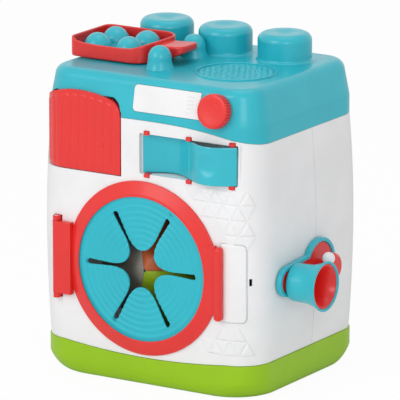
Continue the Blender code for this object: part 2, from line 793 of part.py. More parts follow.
def add_shell_boss(shell, side, end):
    """A screw boss in a corner of a shell, over the base tray's boss, with a rib to the wall."""
    x = side * BASE_SCREW_X
    y = end * BASE_SCREW_Y
    boss = pipe(SCREW_SHANK_RADIUS + GAP, SCREW_BOSS_RADIUS, BASE_BOSS_HEIGHT + GAP, SHELL_BOSS_HEIGHT,
                SMALL_STEPS, along_z((x, y, 0.0)))
    near = y + end * SCREW_BOSS_RADIUS * BOSS_RIB_START_SHARE
    ends = sorted((near, end * HALF_DEPTH))
    rib = tool("boss_rib_%d_%d" % (side, end), block((x - WALL / 2, ends[0], BASE_SEAM_HEIGHT + OVERRUN),
                                                    (x + WALL / 2, ends[1], SHELL_BOSS_HEIGHT)))
    shape_by(rib, inner_space("rib_room_%d_%d" % (side, end), -WALL / 2), "INTERSECT")
    body = tool("boss_%d_%d" % (side, end), boss)
    shape_by(body, rib, "UNION")
    shape_by(shell, body, "UNION")


def make_rear_shell():
    """White back wall with the drum's bearing boss."""
    shell = place("rear_shell", half_shell(False, WALL), "white", crease=35.0)
    frame = along_y((0.0, 0.0, DRIVE_HEIGHT))
    bm = turned([(AXLE_RADIUS + BEARING_WALL + GAP, BOSS_FRONT_Y), (BOSS_RADIUS, BOSS_FRONT_Y),
                 (BOSS_RADIUS + BEARING_WALL, HALF_DEPTH - WALL / 2),
                 (AXLE_RADIUS + BEARING_WALL + GAP, HALF_DEPTH - WALL / 2)], ROUND_STEPS, frame)
    shape_by(shell, tool("bearing_boss", bm), "UNION")
    for sign in (-1, 1):
        add_shell_boss(shell, sign, 1)
    shape_by(shell, bush_hole("bush_hole_rear"), "DIFFERENCE")
    return shell


def base_row(height, thickness):
    """Outline of the base at a height: drawn in below like a quarter ellipse, with rounder corners."""
    rise = min(1.0, height / BASE_ROUND_HEIGHT)
    draw = 1 - math.sqrt(1 - (1 - rise) ** 2)
    width = half_width(BASE_SEAM_HEIGHT)
    path = full_path(width, BASE_ROUND_INSET * draw - BASE_LIP + thickness, BASE_CORNER_EXTRA * (1 - rise))
    return [(x, y, height) for x, y in path]


def make_base_tray():
    """Lime base: flat floor, sides that swell up to a rim, and a rim that follows the seam."""
    heights = [BASE_ROUND_HEIGHT * share for share in BASE_ROW_SHARES]
    rings = [base_row(height, 0.0) for height in heights]
    for thickness in (0.0, WALL):
        rings.append([(x, y, base_seam(x) - GAP / 2) for x, y, _ in base_row(BASE_ROUND_HEIGHT, thickness)])
    rings += [base_row(height, WALL) for height in reversed(heights[1:])]
    rings.append([(x, y, BASE_FLOOR) for x, y, _ in base_row(heights[0], WALL)])
    bm = loft(rings)
    tray = place("base_tray", bm, "lime", crease=35.0)
    for side in (-1, 1):
        for end in (-1, 1):
            frame = along_z((side * BASE_SCREW_X, end * BASE_SCREW_Y, 0.0))
            name = "base_boss_%d_%d" % (side, end)
            boss = drum_shape(SCREW_BOSS_RADIUS, BASE_FLOOR / 2, BASE_BOSS_HEIGHT, SMALL_STEPS, frame)
            shape_by(tray, tool(name, boss), "UNION")
            well = turned([(0.0, -OVERRUN), (SCREW_HEAD_RADIUS + GAP, -OVERRUN),
                           (SCREW_HEAD_RADIUS + GAP, SCREW_WELL_DEPTH),
                           (SCREW_SHANK_RADIUS + GAP, SCREW_WELL_DEPTH),
                           (SCREW_SHANK_RADIUS + GAP, BASE_BOSS_HEIGHT + OVERRUN),
                           (0.0, BASE_BOSS_HEIGHT + OVERRUN)], SMALL_STEPS, frame)
            shape_by(tray, tool(name + "_well", well), "DIFFERENCE")
    return tray


def make_base_screws():
    """Four screws that hold the base tray to the shells."""
    top = SCREW_WELL_DEPTH - GAP
    profile = [(0.0, top - SCREW_HEAD_HEIGHT), (SCREW_HEAD_RADIUS, top - SCREW_HEAD_HEIGHT),
               (SCREW_HEAD_RADIUS, top), (SCREW_SHANK_RADIUS, top),
               (SCREW_SHANK_RADIUS, top + SCREW_LENGTH), (0.0, top + SCREW_LENGTH)]
    for end, end_name in ((-1, "front"), (1, "rear")):
        for side, side_name in ((-1, "left"), (1, "right")):
            frame = along_z((side * BASE_SCREW_X, end * BASE_SCREW_Y, 0.0))
            place("base_screw_%s_%s" % (end_name, side_name), turned(profile, SMALL_STEPS, frame), "steel")


# Points on the front wall by distance along it from the centre line

def wall_point(run, height, lift=0.0):
    """A point on the front's outside, a run along it to the right (or left, negative), lifted out."""
    if height > TOP_SEAM_HEIGHT:
        inset = max(0.0, slope_y(height) + HALF_DEPTH)
        side = half_width(TOP_SEAM_HEIGHT) - inset
    else:
        inset = 0.0
        side = half_width(height)
    face = HALF_DEPTH - inset
    radius = CORNER_RADIUS - inset
    flat = side - radius
    sign = 1 if run > 0 else -1
    distance = abs(run)
    if distance <= flat:
        return (run, -face - lift, height)
    angle = (distance - flat) / radius
    x = flat + (radius + lift) * math.sin(angle)
    y = radius - face - (radius + lift) * math.cos(angle)
    return (sign * x, y, height)


def flap_end_run():
    return half_width(FLAP_PLAN_HEIGHT) - CORNER_RADIUS + CORNER_RADIUS * FLAP_END_ANGLE * DEG


def flap_point(run, height, lift):
    """A point on the upright flap: the wall's plan at one height, carried straight up."""
    x, y, _ = wall_point(run, FLAP_PLAN_HEIGHT, lift)
    return (x, y, height)


def flap_high(run):
    """Arched top edge of the flap at a distance along the wall."""
    x = -run
    if x > FLAP_PEAK_X:
        share = (x - FLAP_PEAK_X) / (FLAP_RIGHT_X - FLAP_PEAK_X)
        edge = FLAP_PEAK - (FLAP_PEAK - FLAP_RIGHT_HEIGHT) * share * share
    else:
        share = (run + FLAP_PEAK_X) / (flap_end_run() + FLAP_PEAK_X)
        edge = FLAP_PEAK - (FLAP_PEAK - FLAP_LEFT_HEIGHT) * share * share
    corner = max(0.0, FLAP_CORNER - (FLAP_RIGHT_X - x))
    return edge - corner_drop(corner, FLAP_CORNER)


def corner_drop(over, radius):
    """How far a round corner falls away from its straight edge."""
    over = min(over, radius)
    return radius - math.sqrt(max(0.0, radius * radius - over * over))


def flap_low(run):
    over = max(0.0, run - (flap_end_run() - FLAP_END_ROUND))
    return FLAP_LOW + corner_drop(over, FLAP_END_ROUND)


def opening_low(run):
    """Lower edge of the flap's opening: it stays low past the hinge, where the open flap's end swings."""
    over = max(0.0, run - (flap_end_run() + FLAP_HINGE_GAP - FLAP_OPENING_ROUND))
    return FLAP_LOW - FLAP_GAP + corner_drop(over, FLAP_OPENING_ROUND)


def flap_opening(name):
    """The hole that the flap closes, a little larger than the flap and widest over its grip corner."""
    near = []
    far = []
    for run in spread(-FLAP_RIGHT_X - FLAP_GAP, flap_end_run() + FLAP_HINGE_GAP, FLAP_OPENING_STEPS):
        held = min(max(run, -FLAP_RIGHT_X), flap_end_run())
        blend = min(1.0, max(0.0, (-held - FLAP_PEAK_X) / (FLAP_RIGHT_X - FLAP_PEAK_X)))
        spare = FLAP_GAP + (FLAP_GRIP_GAP - FLAP_GAP) * blend
        low = opening_low(run)
        high = min(flap_high(held) + spare, FLAP_PEAK - FLAP_LID_OVERLAP)
        rows = [low + (high - low) * step / 6 for step in range(7)]
        near.append([wall_point(-run, height, OVERRUN * 2) for height in rows])
        far.append([wall_point(-run, height, -WALL - OVERRUN) for height in rows])
    return tool(name, slab(near, far))


def make_flap():
    """Red flap round the front left corner: vertical ribs, arched top and a hinge barrel."""
    near = []
    far = []
    ribs = round((flap_end_run() + FLAP_RIGHT_X) / FLAP_RIB_PITCH)
    steps = ribs * FLAP_RIB_SEGMENTS
    for index, run in enumerate(spread(-FLAP_RIGHT_X, flap_end_run(), steps)):
        wave = (1 - math.cos(math.tau * index / FLAP_RIB_SEGMENTS)) / 2
        edge = min(run + FLAP_RIGHT_X, flap_end_run() - run)
        rib = FLAP_RIB_HEIGHT * wave * min(1.0, max(0.0, edge / FLAP_RIB_PITCH))
        low, high = flap_low(run), flap_high(run)
        rim = FLAP_RIB_HEIGHT * 2
        rows = [(low, 0.0), (low + rim, 0.0), (low + 2 * rim, rib)]
        rows += [(low + 2 * rim + (high - low - 5 * rim) * share, rib) for share in FLAP_ROW_SHARES]
        rows += [(high - rim, 0.0), (high, 0.0)]
        near.append([flap_point(-run, height, FLAP_PROUD + bump) for height, bump in rows])
        far.append([flap_point(-run, height, FLAP_PROUD - FLAP_SHEET) for height, bump in rows])
    flap = place("flap", slab(near, far), "red", crease=50.0)
    x, y = flap_axis()
    frame = along_z((x, y, 0.0))
    notches = bmesh.new()
    for ear_low, ear_high in flap_ears():
        drum_shape(FLAP_BARREL_RADIUS + FLAP_EAR_CLEARANCE, ear_low - GAP, ear_high + GAP, SMALL_STEPS * 2,
                   frame, notches)
    shape_by(flap, tool("flap_notches", notches), "DIFFERENCE")
    low, high = flap_barrel_span()
    barrel = drum_shape(FLAP_BARREL_RADIUS, low, high, SMALL_STEPS * 2, frame)
    shape_by(flap, tool("flap_barrel", barrel), "UNION")
    bore = drum_shape(FLAP_PIN_RADIUS + GAP, low - GAP * 2, high + GAP * 2, SMALL_STEPS, frame)
    shape_by(flap, tool("flap_bore", bore), "DIFFERENCE")
    return flap


def flap_axis():
    """Hinge axis in the flap's left end, deep enough for the barrel to lie flush."""
    run = -(flap_end_run() - FLAP_END_STUB)
    x, y, _ = flap_point(run, FLAP_LOW, FLAP_PROUD - FLAP_BARREL_RADIUS)
    return x, y


def flap_barrel_span():
    return FLAP_LOW + FLAP_KNUCKLE_INSET, FLAP_LEFT_HEIGHT - FLAP_KNUCKLE_INSET


def make_hopper():
    """White pocket behind the flap, trimmed to the inside of the walls, with ears for the pin."""
    left = -half_width(TOP_SEAM_HEIGHT) + WALL
    right = FLAP_RIGHT_X + HOPPER_WALL + FLAP_GAP
    low = FLAP_LOW - FLAP_GAP - HOPPER_WALL
    high = FLAP_PEAK + HOPPER_WALL
    back = -HALF_DEPTH + HOPPER_DEPTH
    bm = block((left, -HALF_DEPTH - OVERRUN, low), (right, back, high))
    hopper = place("hopper", bm, "white")
    inside = block((left + HOPPER_WALL, -HALF_DEPTH - 2 * OVERRUN, low + HOPPER_WALL),
                   (right - HOPPER_WALL, back - HOPPER_WALL, high - HOPPER_WALL))
    shape_by(hopper, tool("hopper_inside", inside), "DIFFERENCE")
    shape_by(hopper, inner_space("hopper_room", GAP), "INTERSECT")
    x, y = flap_axis()
    webs = bmesh.new()
    ears = bmesh.new()
    inward = Vector((abs(half_width(FLAP_PLAN_HEIGHT) - CORNER_RADIUS + x), CORNER_RADIUS - HALF_DEPTH - y))
    turn = Matrix.Rotation(math.atan2(inward.y, inward.x), 4, "Z")
    for ear_low, ear_high in flap_ears():
        block((left + HOPPER_WALL / 2, y - FLAP_BARREL_RADIUS, ear_low),
              (x + FLAP_BARREL_RADIUS, y + FLAP_WEB_DEPTH, ear_high), webs)
        outline = arc(0.0, 0.0, FLAP_BARREL_RADIUS, 90, 270, 8)
        outline += [(FLAP_EAR_DEPTH, -FLAP_BARREL_RADIUS), (FLAP_EAR_DEPTH, FLAP_BARREL_RADIUS)]
        prism(outline, ear_low, ear_high, along_z((x, y, 0.0)) @ turn, ears)
    web = tool("flap_ear_webs", webs)
    shape_by(web, inner_space("ear_room", GAP * 3), "INTERSECT")
    shape_by(hopper, web, "UNION")
    shape_by(hopper, tool("flap_ears", ears), "UNION")
    bore = drum_shape(FLAP_PIN_RADIUS + GAP / 3, low, high, SMALL_STEPS, along_z((x, y, 0.0)))
    shape_by(hopper, tool("flap_ear_bores", bore), "DIFFERENCE")
    return hopper


def flap_ears():
    low, high = flap_barrel_span()
    return [(low - GAP - FLAP_EAR_HEIGHT, low - GAP), (high + GAP, high + GAP + FLAP_EAR_HEIGHT)]


def make_flap_pin():
    x, y = flap_axis()
    low = flap_ears()[0][0]
    high = flap_ears()[1][1]
    return place("flap_pin", drum_shape(FLAP_PIN_RADIUS, low, high, SMALL_STEPS, along_z((x, y, 0.0))),
                 "steel")


# Window

def make_window_tray():
    """White pocket behind the window."""
    left = WINDOW_LEFT_X - POCKET_WALL
    right = WINDOW_LEFT_X + WINDOW_WIDTH + POCKET_WALL
    back = -HALF_DEPTH + WINDOW_POCKET_DEPTH
    bm = block((left, -HALF_DEPTH - OVERRUN, WINDOW_LOW - POCKET_WALL),
               (right, back, WINDOW_HIGH + POCKET_WALL))
    tray = place("window_tray", bm, "white")
    inside = block((left + POCKET_WALL, -HALF_DEPTH - 2 * OVERRUN, WINDOW_LOW),
                   (right - POCKET_WALL, back - POCKET_WALL, WINDOW_HIGH))
    shape_by(tray, tool("window_inside", inside), "DIFFERENCE")
    shape_by(tray, inner_space("window_room", GAP), "INTERSECT")
    shape_by(tray, clip_notches("tray_notches"), "DIFFERENCE")
    return tray


def wave_ends():
    return WINDOW_LEFT_X + WAVE_LEFT_MARGIN, WINDOW_LEFT_X + WINDOW_WIDTH - WAVE_RIGHT_MARGIN


def wave_middle():
    left, right = wave_ends()
    return (left + right) / 2


def wave_y(x):
    """Middle surface of the wave panel: in on the left half, out on the right half."""
    left, right = wave_ends()
    return WAVE_MIDDLE_Y - WAVE_SWELL * math.sin(math.tau * (x - wave_middle()) / (right - left))


def make_wave_panel():
    """Teal strip bent in an S across the window, with a thumb dimple on its bulge."""
    low = WINDOW_LOW + WAVE_EDGE_GAP
    high = WINDOW_HIGH - WAVE_EDGE_GAP
    near = []
    far = []
    for x in spread(*wave_ends(), WAVE_STEPS):
        near.append([(x, wave_y(x) - WAVE_SHEET / 2, z) for z in (low, high)])
        far.append([(x, wave_y(x) + WAVE_SHEET / 2, z) for z in (low, high)])
    panel = place("wave_panel", slab(near, far), "teal", crease=50.0)
    middle = wave_middle()
    barrel = drum_shape(WAVE_BARREL_RADIUS, low, high, SMALL_STEPS, along_z((middle, WAVE_MIDDLE_Y, 0.0)))
    shape_by(panel, tool("wave_barrel", barrel), "UNION")
    bore = drum_shape(WAVE_PIN_RADIUS + GAP, low - OVERRUN, high + OVERRUN, SMALL_STEPS,
                      along_z((middle, WAVE_MIDDLE_Y, 0.0)))
    shape_by(panel, tool("wave_bore", bore), "DIFFERENCE")
    return panel


def clip_places():
    """Name, middle X and window edge height of each clip, and which way it stands off the edge."""
    left = wave_ends()[0] + CLIP_END_INSET
    right = wave_ends()[1] - CLIP_END_INSET
    places = []
    for name, x in (("left", left), ("middle", (left + right) / 2), ("right", right)):
        places += [(name + "_low", x, WINDOW_LOW, -1), (name + "_high", x, WINDOW_HIGH, 1)]
    return places


def clip_box(x, edge, way, spare):
    """Corners of one clip: on the window's edge, through the wall."""
    shell_y = wall_point(x, edge)[1]
    inner = edge - way * (WAVE_EDGE_GAP - GAP)
    outer = edge + way * (CLIP_HEIGHT + spare)
    low, high = sorted((inner, outer))
    half = CLIP_WIDTH / 2 + spare
    return ((x - half, shell_y - CLIP_PROUD - spare, low), (x + half, WAVE_MIDDLE_Y + CLIP_BACK, high))


def clip_notches(name):
    """Notches in the window's edge that the clips press into."""
    bm = bmesh.new()
    for _, x, edge, way in clip_places():
        low, high = clip_box(x, edge, way, GAP)
        block(low, (high[0], high[1] + OVERRUN, high[2]), bm)
    return tool(name, bm)


def make_window_clips():
    """Six red clips on the window's edges; the middle two carry the wave panel's pin."""
    middle = wave_middle()
    pin_low, pin_high = wave_pin_span()
    bore = drum_shape(WAVE_PIN_RADIUS + GAP, pin_low - GAP, pin_high + GAP, SMALL_STEPS,
                      along_z((middle, WAVE_MIDDLE_Y, 0.0)))
    bores = tool("clip_bores", bore)
    for name, x, edge, way in clip_places():
        low, high = clip_box(x, edge, way, 0.0)
        clip = place("window_clip_" + name, block(low, high), "red")
        if name.startswith("middle"):
            shape_by(clip, bores, "DIFFERENCE")


def wave_pin_span():
    return WINDOW_LOW - CLIP_HEIGHT / 2, WINDOW_HIGH + CLIP_HEIGHT / 2


def make_wave_pin():
    middle = wave_middle()
    low, high = wave_pin_span()
    return place("wave_pin", drum_shape(WAVE_PIN_RADIUS, low, high, SMALL_STEPS,
                                        along_z((middle, WAVE_MIDDLE_Y, 0.0))), "steel")


# Label, knob and catch plate

def slope_frame(x, height):
    """A frame on the sloping front: local Z points out of the face, local X is world X."""
    turn = Matrix.Rotation(90 * DEG - SLOPE_LEAN, 4, "X")
    return Matrix.Translation((x, slope_y(height), height)) @ turn


def label_outline(spare):
    """Rounded plate whose right end is hollowed round the knob."""
    middle = (LABEL_LOW + LABEL_HIGH) / 2
    stretch = math.cos(SLOPE_LEAN)
    low = (LABEL_LOW - middle) / stretch - spare
    high = (LABEL_HIGH - middle) / stretch + spare
    left = LABEL_LEFT_X - spare
    right = LABEL_RIGHT_X + spare
    hollow = KNOB_RADIUS + KNOB_BEZEL_GAP - spare
    knob_v = (KNOB_HEIGHT - middle) / stretch
    points = arc(left + LABEL_ROUND, high - LABEL_ROUND, LABEL_ROUND, 90, 180, 4)
    points += arc(left + LABEL_ROUND, low + LABEL_ROUND, LABEL_ROUND, 180, 270, 4)
    for v in spread(low, high, 10):
        reach = hollow * hollow - (v - knob_v) ** 2
        x = right
        if reach > 0.0:
            x = min(right, KNOB_X - math.sqrt(reach))
        points.append((x, v))
    return points


def label_recess():
    middle = (LABEL_LOW + LABEL_HIGH) / 2
    bm = prism(label_outline(GAP), -LABEL_SEAT, OVERRUN * 2, slope_frame(0.0, middle))
    return tool("label_recess", bm)


def make_label_plate():
    """Blank white plate let into the sloping front."""
    middle = (LABEL_LOW + LABEL_HIGH) / 2
    bm = prism(label_outline(0.0), GAP - LABEL_SEAT, LABEL_PROUD, slope_frame(0.0, middle))
    return place("label_plate", bm, "white")


def knob_frame():
    return slope_frame(KNOB_X, KNOB_HEIGHT)


def knob_hole():
    bm = drum_shape(KNOB_SHAFT_RADIUS + GAP, -WALL - OVERRUN * 2, OVERRUN * 2, SMALL_STEPS, knob_frame())
    return tool("knob_hole", bm)


def ribbed_ring(radius, depth, ribs):
    """A round outline whose radius alternates between ribs and grooves."""
    points = []
    for index in range(ribs * 2):
        angle = math.tau * index / (ribs * 2)
        reach = radius if index % 2 else radius - depth
        points.append((reach * math.cos(angle), reach * math.sin(angle)))
    return points


def make_knob():
    """Red knob with a ribbed side, a rounded face and a shaft through the front."""
    frame = knob_frame()
    low = GAP * 2
    outline = ribbed_ring(KNOB_RADIUS, KNOB_RIB_DEPTH, KNOB_RIBS)
    face = KNOB_LENGTH
    rings = []
    for share, height in ((1.0, low), (1.0, face - KNOB_FACE_ROUND), (0.975, face - KNOB_FACE_ROUND / 3),
                          (0.93, face)):
        rings.append([frame @ Vector((x * share, y * share, height)) for x, y in outline])
    knob = place("knob", loft(rings), "red", crease=30.0)
    shaft = drum_shape(KNOB_SHAFT_RADIUS, -KNOB_SHAFT_LENGTH, low + OVERRUN, SMALL_STEPS, frame)
    shape_by(knob, tool("knob_shaft", shaft), "UNION")
    return knob


def make_knob_washer():
    """Snap washer on the knob's shaft behind the wall."""
    low = -KNOB_SHAFT_LENGTH + GAP
    bm = pipe(KNOB_SHAFT_RADIUS + GAP / 3, KNOB_SHAFT_RADIUS * 2, low, low + KNOB_WASHER, SMALL_STEPS,
              knob_frame())
    return place("knob_washer", bm, "natural")


def catch_patch(lift_out, lift_in, spare):
    """A round-cornered patch on the front wall right of the door, following its curve."""
    near = []
    far = []
    end = half_width(DOOR_HEIGHT) - CORNER_RADIUS + CATCH_ARC
    start = CATCH_LEFT_X
    low = DOOR_HEIGHT - CATCH_LOW_DROP - spare
    high = DOOR_HEIGHT + CATCH_HIGH_RISE + spare
    for run in spread(start - spare, end + spare, CATCH_STEPS):
        over = max(0.0, CATCH_ROUND - (end + spare - run))
        drop = corner_drop(over, CATCH_ROUND)
        rows = spread(low + drop, high - drop, 4)
        near.append([wall_point(run, height, lift_out) for height in rows])
        far.append([wall_point(run, height, lift_in) for height in rows])
    return slab(near, far)


def catch_recess():
    return tool("catch_recess", catch_patch(OVERRUN, -CATCH_SEAT, GAP))


def make_catch_plate():
    """Raised white plate under the latch grip."""
    return place("catch_plate", catch_patch(CATCH_PROUD, GAP - CATCH_SEAT, 0.0), "white", crease=50.0)


def slot_hole():
    """Small upright slot beside the catch plate."""
    start = half_width(DOOR_HEIGHT) - CORNER_RADIUS + SLOT_HOLE_ARC + SLOT_HOLE_HALF_WIDTH
    near = []
    far = []
    for run in (start, start + SLOT_HOLE_HALF_WIDTH, start + SLOT_HOLE_HALF_WIDTH * 2):
        rows = spread(DOOR_HEIGHT - SLOT_HOLE_HALF_HEIGHT, DOOR_HEIGHT + SLOT_HOLE_HALF_HEIGHT, 2)
        near.append([wall_point(run, height, OVERRUN) for height in rows])
        far.append([wall_point(run, height, -WALL - OVERRUN) for height in rows])
    return tool("slot_hole", slab(near, far))


# Door

def make_door_frame():
    """Red ring with a sloping face, a rebate for the membrane, a hinge block and a latch tab."""
    edge = DOOR_SEAT_Y - GAP
    outer = edge - FRAME_EDGE_THICKNESS
    back = edge + COLLAR_DEPTH
    crown = STAR_RADIUS + FRAME_CROWN
    profile = [(STAR_RADIUS, DOOR_FACE_Y + FRAME_LIP_THICKNESS), (STAR_RADIUS, DOOR_FACE_Y + GAP),
               (STAR_RADIUS + GAP, DOOR_FACE_Y), (crown, DOOR_FACE_Y),
               (FRAME_RADIUS - GAP, outer), (FRAME_RADIUS, outer + GAP),
               (FRAME_RADIUS, edge), (COLLAR_RADIUS, edge), (COLLAR_RADIUS, back),
               (FRAME_REBATE_RADIUS, back), (FRAME_REBATE_RADIUS, DOOR_FACE_Y + FRAME_LIP_THICKNESS)]
    frame = place("door_frame", turned(profile, FINE_STEPS, along_y((0.0, 0.0, DOOR_HEIGHT))), "red",
                  crease=30.0)
    shape_by(frame, hinge_block(), "UNION")
    shape_by(frame, latch_tab(), "UNION")
    shape_by(frame, tab_trim(), "DIFFERENCE")
    bore = drum_shape(HINGE_PIN_RADIUS + GAP, DOOR_HEIGHT - BLOCK_LOW_DROP - OVERRUN,
                      DOOR_HEIGHT + BLOCK_HIGH_RISE + OVERRUN, SMALL_STEPS, along_z((HINGE_X, HINGE_Y, 0.0)))
    shape_by(frame, tool("door_bore", bore), "DIFFERENCE")
    return frame


def hinge_block():
    """Block from the ring's left side to the hinge barrel."""
    face = HINGE_Y - BARREL_RADIUS
    back = DOOR_SEAT_Y - GAP
    outline = arc(HINGE_X, HINGE_Y, BARREL_RADIUS, 90, 270, 8)
    outline += [(-COLLAR_RADIUS - OVERRUN, face), (-COLLAR_RADIUS - OVERRUN, back),
                (HINGE_X + BARREL_RADIUS, back)]
    bm = prism(outline, DOOR_HEIGHT - BLOCK_LOW_DROP, DOOR_HEIGHT + BLOCK_HIGH_RISE, along_z())
    return tool("hinge_block", bm)


def latch_tab():
    """Straight-edged tab on the ring's right side, which carries the grip bar."""
    back = DOOR_SEAT_Y - GAP
    low = (COLLAR_RADIUS - OVERRUN, back - FRAME_EDGE_THICKNESS * 2, DOOR_HEIGHT - TAB_LOW_DROP)
    high = (GRIP_LEFT_X - GAP, back, DOOR_HEIGHT + TAB_HIGH_RISE)
    bm = block((TAB_LEFT_X, low[1], low[2]), high)
    return tool("latch_tab", bm)


def tab_trim():
    """Straight right edge of the frame, beside the grip bar."""
    reach = FRAME_RADIUS + OVERRUN
    low = (GRIP_LEFT_X - GAP, DOOR_FACE_Y - BLOCK_THICKNESS, DOOR_HEIGHT - reach / 2)
    high = (reach, DOOR_SEAT_Y + COLLAR_DEPTH, DOOR_HEIGHT + reach / 2)
    return tool("tab_trim", block(low, high))


def make_latch_grip():
    """Upright red bar at the door's right edge."""
    back = DOOR_SEAT_Y - CATCH_PROUD - GAP
    outline = soft_box(GRIP_LEFT_X, GRIP_LEFT_X + GRIP_WIDTH, DOOR_HEIGHT - GRIP_LOW_DROP,
                       DOOR_HEIGHT + GRIP_HIGH_RISE, GRIP_WIDTH / 2 - GAP)
    frame = along_y() @ Matrix.Scale(-1, 4, (0, 1, 0))
    return place("latch_grip", prism(outline, back - GRIP_THICKNESS, back, frame), "red")


def hinge_slot():
    """Pocket in the front wall for the back of the hinge barrel."""
    half = BARREL_RADIUS + DOOR_RUN_CLEARANCE
    low = (HINGE_X - half, DOOR_SEAT_Y - OVERRUN, DOOR_HEIGHT - BLOCK_LOW_DROP - HINGE_EAR_HEIGHT - GAP * 2)
    high = (HINGE_X + half, inner_wall_y(low[0], low[2]) + OVERRUN,
            DOOR_HEIGHT + BLOCK_HIGH_RISE + HINGE_EAR_HEIGHT + GAP * 2)
    return tool("hinge_slot", block(low, high))


def inner_wall_y(x, height):
    """Inner face of the front wall at a place beside its rounded corner."""
    over = max(0.0, abs(x) - half_width(height) + CORNER_RADIUS)
    inner = CORNER_RADIUS - WALL
    return CORNER_RADIUS - HALF_DEPTH - math.sqrt(max(0.0, inner * inner - over * over))


def make_hinge_bracket():
    """Inner bracket with two ears that carry the door's pin."""
    half = BARREL_RADIUS + DOOR_RUN_CLEARANCE + BRACKET_LIP
    low = DOOR_HEIGHT - BLOCK_LOW_DROP - GAP
    high = DOOR_HEIGHT + BLOCK_HIGH_RISE + GAP
    back = inner_wall_y(HINGE_X - half, low - HINGE_EAR_HEIGHT) + GAP * 2
    bm = block((HINGE_X - half, back, low - HINGE_EAR_HEIGHT), (HINGE_X + half, back + BRACKET_PLATE,
                                                              high + HINGE_EAR_HEIGHT))
    bracket = place("hinge_bracket", bm, "red")
    ears = bmesh.new()
    for ear_low, ear_high in ((low - HINGE_EAR_HEIGHT, low), (high, high + HINGE_EAR_HEIGHT)):
        outline = arc(HINGE_X, HINGE_Y, HINGE_EAR_RADIUS, 180, 360, 8)
        outline += [(HINGE_X + HINGE_EAR_RADIUS, back + BRACKET_PLATE / 2),
                    (HINGE_X - HINGE_EAR_RADIUS, back + BRACKET_PLATE / 2)]
        prism(outline, ear_low, ear_high, along_z(), ears)
    shape_by(bracket, tool("hinge_ears", ears), "UNION")
    bore = drum_shape(HINGE_PIN_RADIUS + GAP / 3, low - HINGE_EAR_HEIGHT - OVERRUN,
                      high + HINGE_EAR_HEIGHT + OVERRUN, SMALL_STEPS, along_z((HINGE_X, HINGE_Y, 0.0)))
    shape_by(bracket, tool("hinge_ear_bores", bore), "DIFFERENCE")
    return bracket


def make_hinge_pin():
    low = DOOR_HEIGHT - BLOCK_LOW_DROP - GAP - HINGE_EAR_HEIGHT
    high = DOOR_HEIGHT + BLOCK_HIGH_RISE + GAP + HINGE_EAR_HEIGHT
    return place("door_hinge_pin", drum_shape(HINGE_PIN_RADIUS, low, high, SMALL_STEPS,
                                              along_z((HINGE_X, HINGE_Y, 0.0))), "steel")


def slot_side():
    """Half of one star slot, from its tip to the middle of a petal's rounded point.

    Each point is (reach along the slot, distance off its centre line).
    """
    tip = SLOT_TIP_REACH - SLOT_TIP_RADIUS
    points = [(tip + SLOT_TIP_RADIUS * math.cos(a * DEG), SLOT_TIP_RADIUS * math.sin(a * DEG))
              for a in (0, 45, 90)]
    half_way = (tip + SLOT_WAIST_REACH) / 2
    points.append((half_way, (SLOT_TIP_RADIUS + SLOT_WAIST_HALF) / 2))
    turn = 180 / STAR_SLOTS * DEG
    start = Vector((SLOT_WAIST_REACH, SLOT_WAIST_HALF))
    stop = Vector((PETAL_TIP_REACH * math.cos(turn), PETAL_TIP_REACH * math.sin(turn)))
    pull_start = start - Vector((start.x - stop.x, 0.0)) * SLOT_PULL_SHARE
    pull_stop = stop + Vector((math.sin(turn), -math.cos(turn))) * stop.y * SLOT_PULL_SHARE * 1.2
    for step in range(SLOT_BEND_POINTS + 1):
        t = step / SLOT_BEND_POINTS
        point = (start * (1 - t) ** 3 + pull_start * (3 * t * (1 - t) ** 2)
                 + pull_stop * (3 * t * t * (1 - t)) + stop * t ** 3)
        points.append((point.x, point.y))
    return points


def make_star_membrane():
    """Soft teal disc with six slots that meet in an open star; its petals bend for a hand."""
    outer_radius = FRAME_REBATE_RADIUS - GAP
    front = DOOR_FACE_Y + FRAME_LIP_THICKNESS + GAP
    sector = 360 / STAR_SLOTS
    rows = []
    for reach, off in slot_side():
        rows.append((math.hypot(reach, off), math.atan2(off, reach) / DEG))
    rows.sort()
    rim = [((rows[-1][0] + outer_radius) / 2, 0.0), (outer_radius, 0.0)]
    bm = bmesh.new()
    sheets = []
    for y in (front, front + STAR_SHEET):
        rings = []
        for radius, start in rows + rim:
            ring = []
            for petal in range(STAR_SLOTS):
                for column in range(PETAL_COLUMNS + 1):
                    if start == 0.0 and column == PETAL_COLUMNS:
                        continue
                    share = column / PETAL_COLUMNS
                    angle = (petal * sector + start + (sector - 2 * start) * share) * DEG
                    ring.append(bm.verts.new((radius * math.cos(angle), y,
                                              DOOR_HEIGHT + radius * math.sin(angle))))
            rings.append(ring)
        sheets.append(rings)
    fill_star(bm, sheets, len(rows))
    bmesh.ops.remove_doubles(bm, verts=bm.verts, dist=MM / 100)
    return place("star_membrane", bm, "teal", crease=50.0)


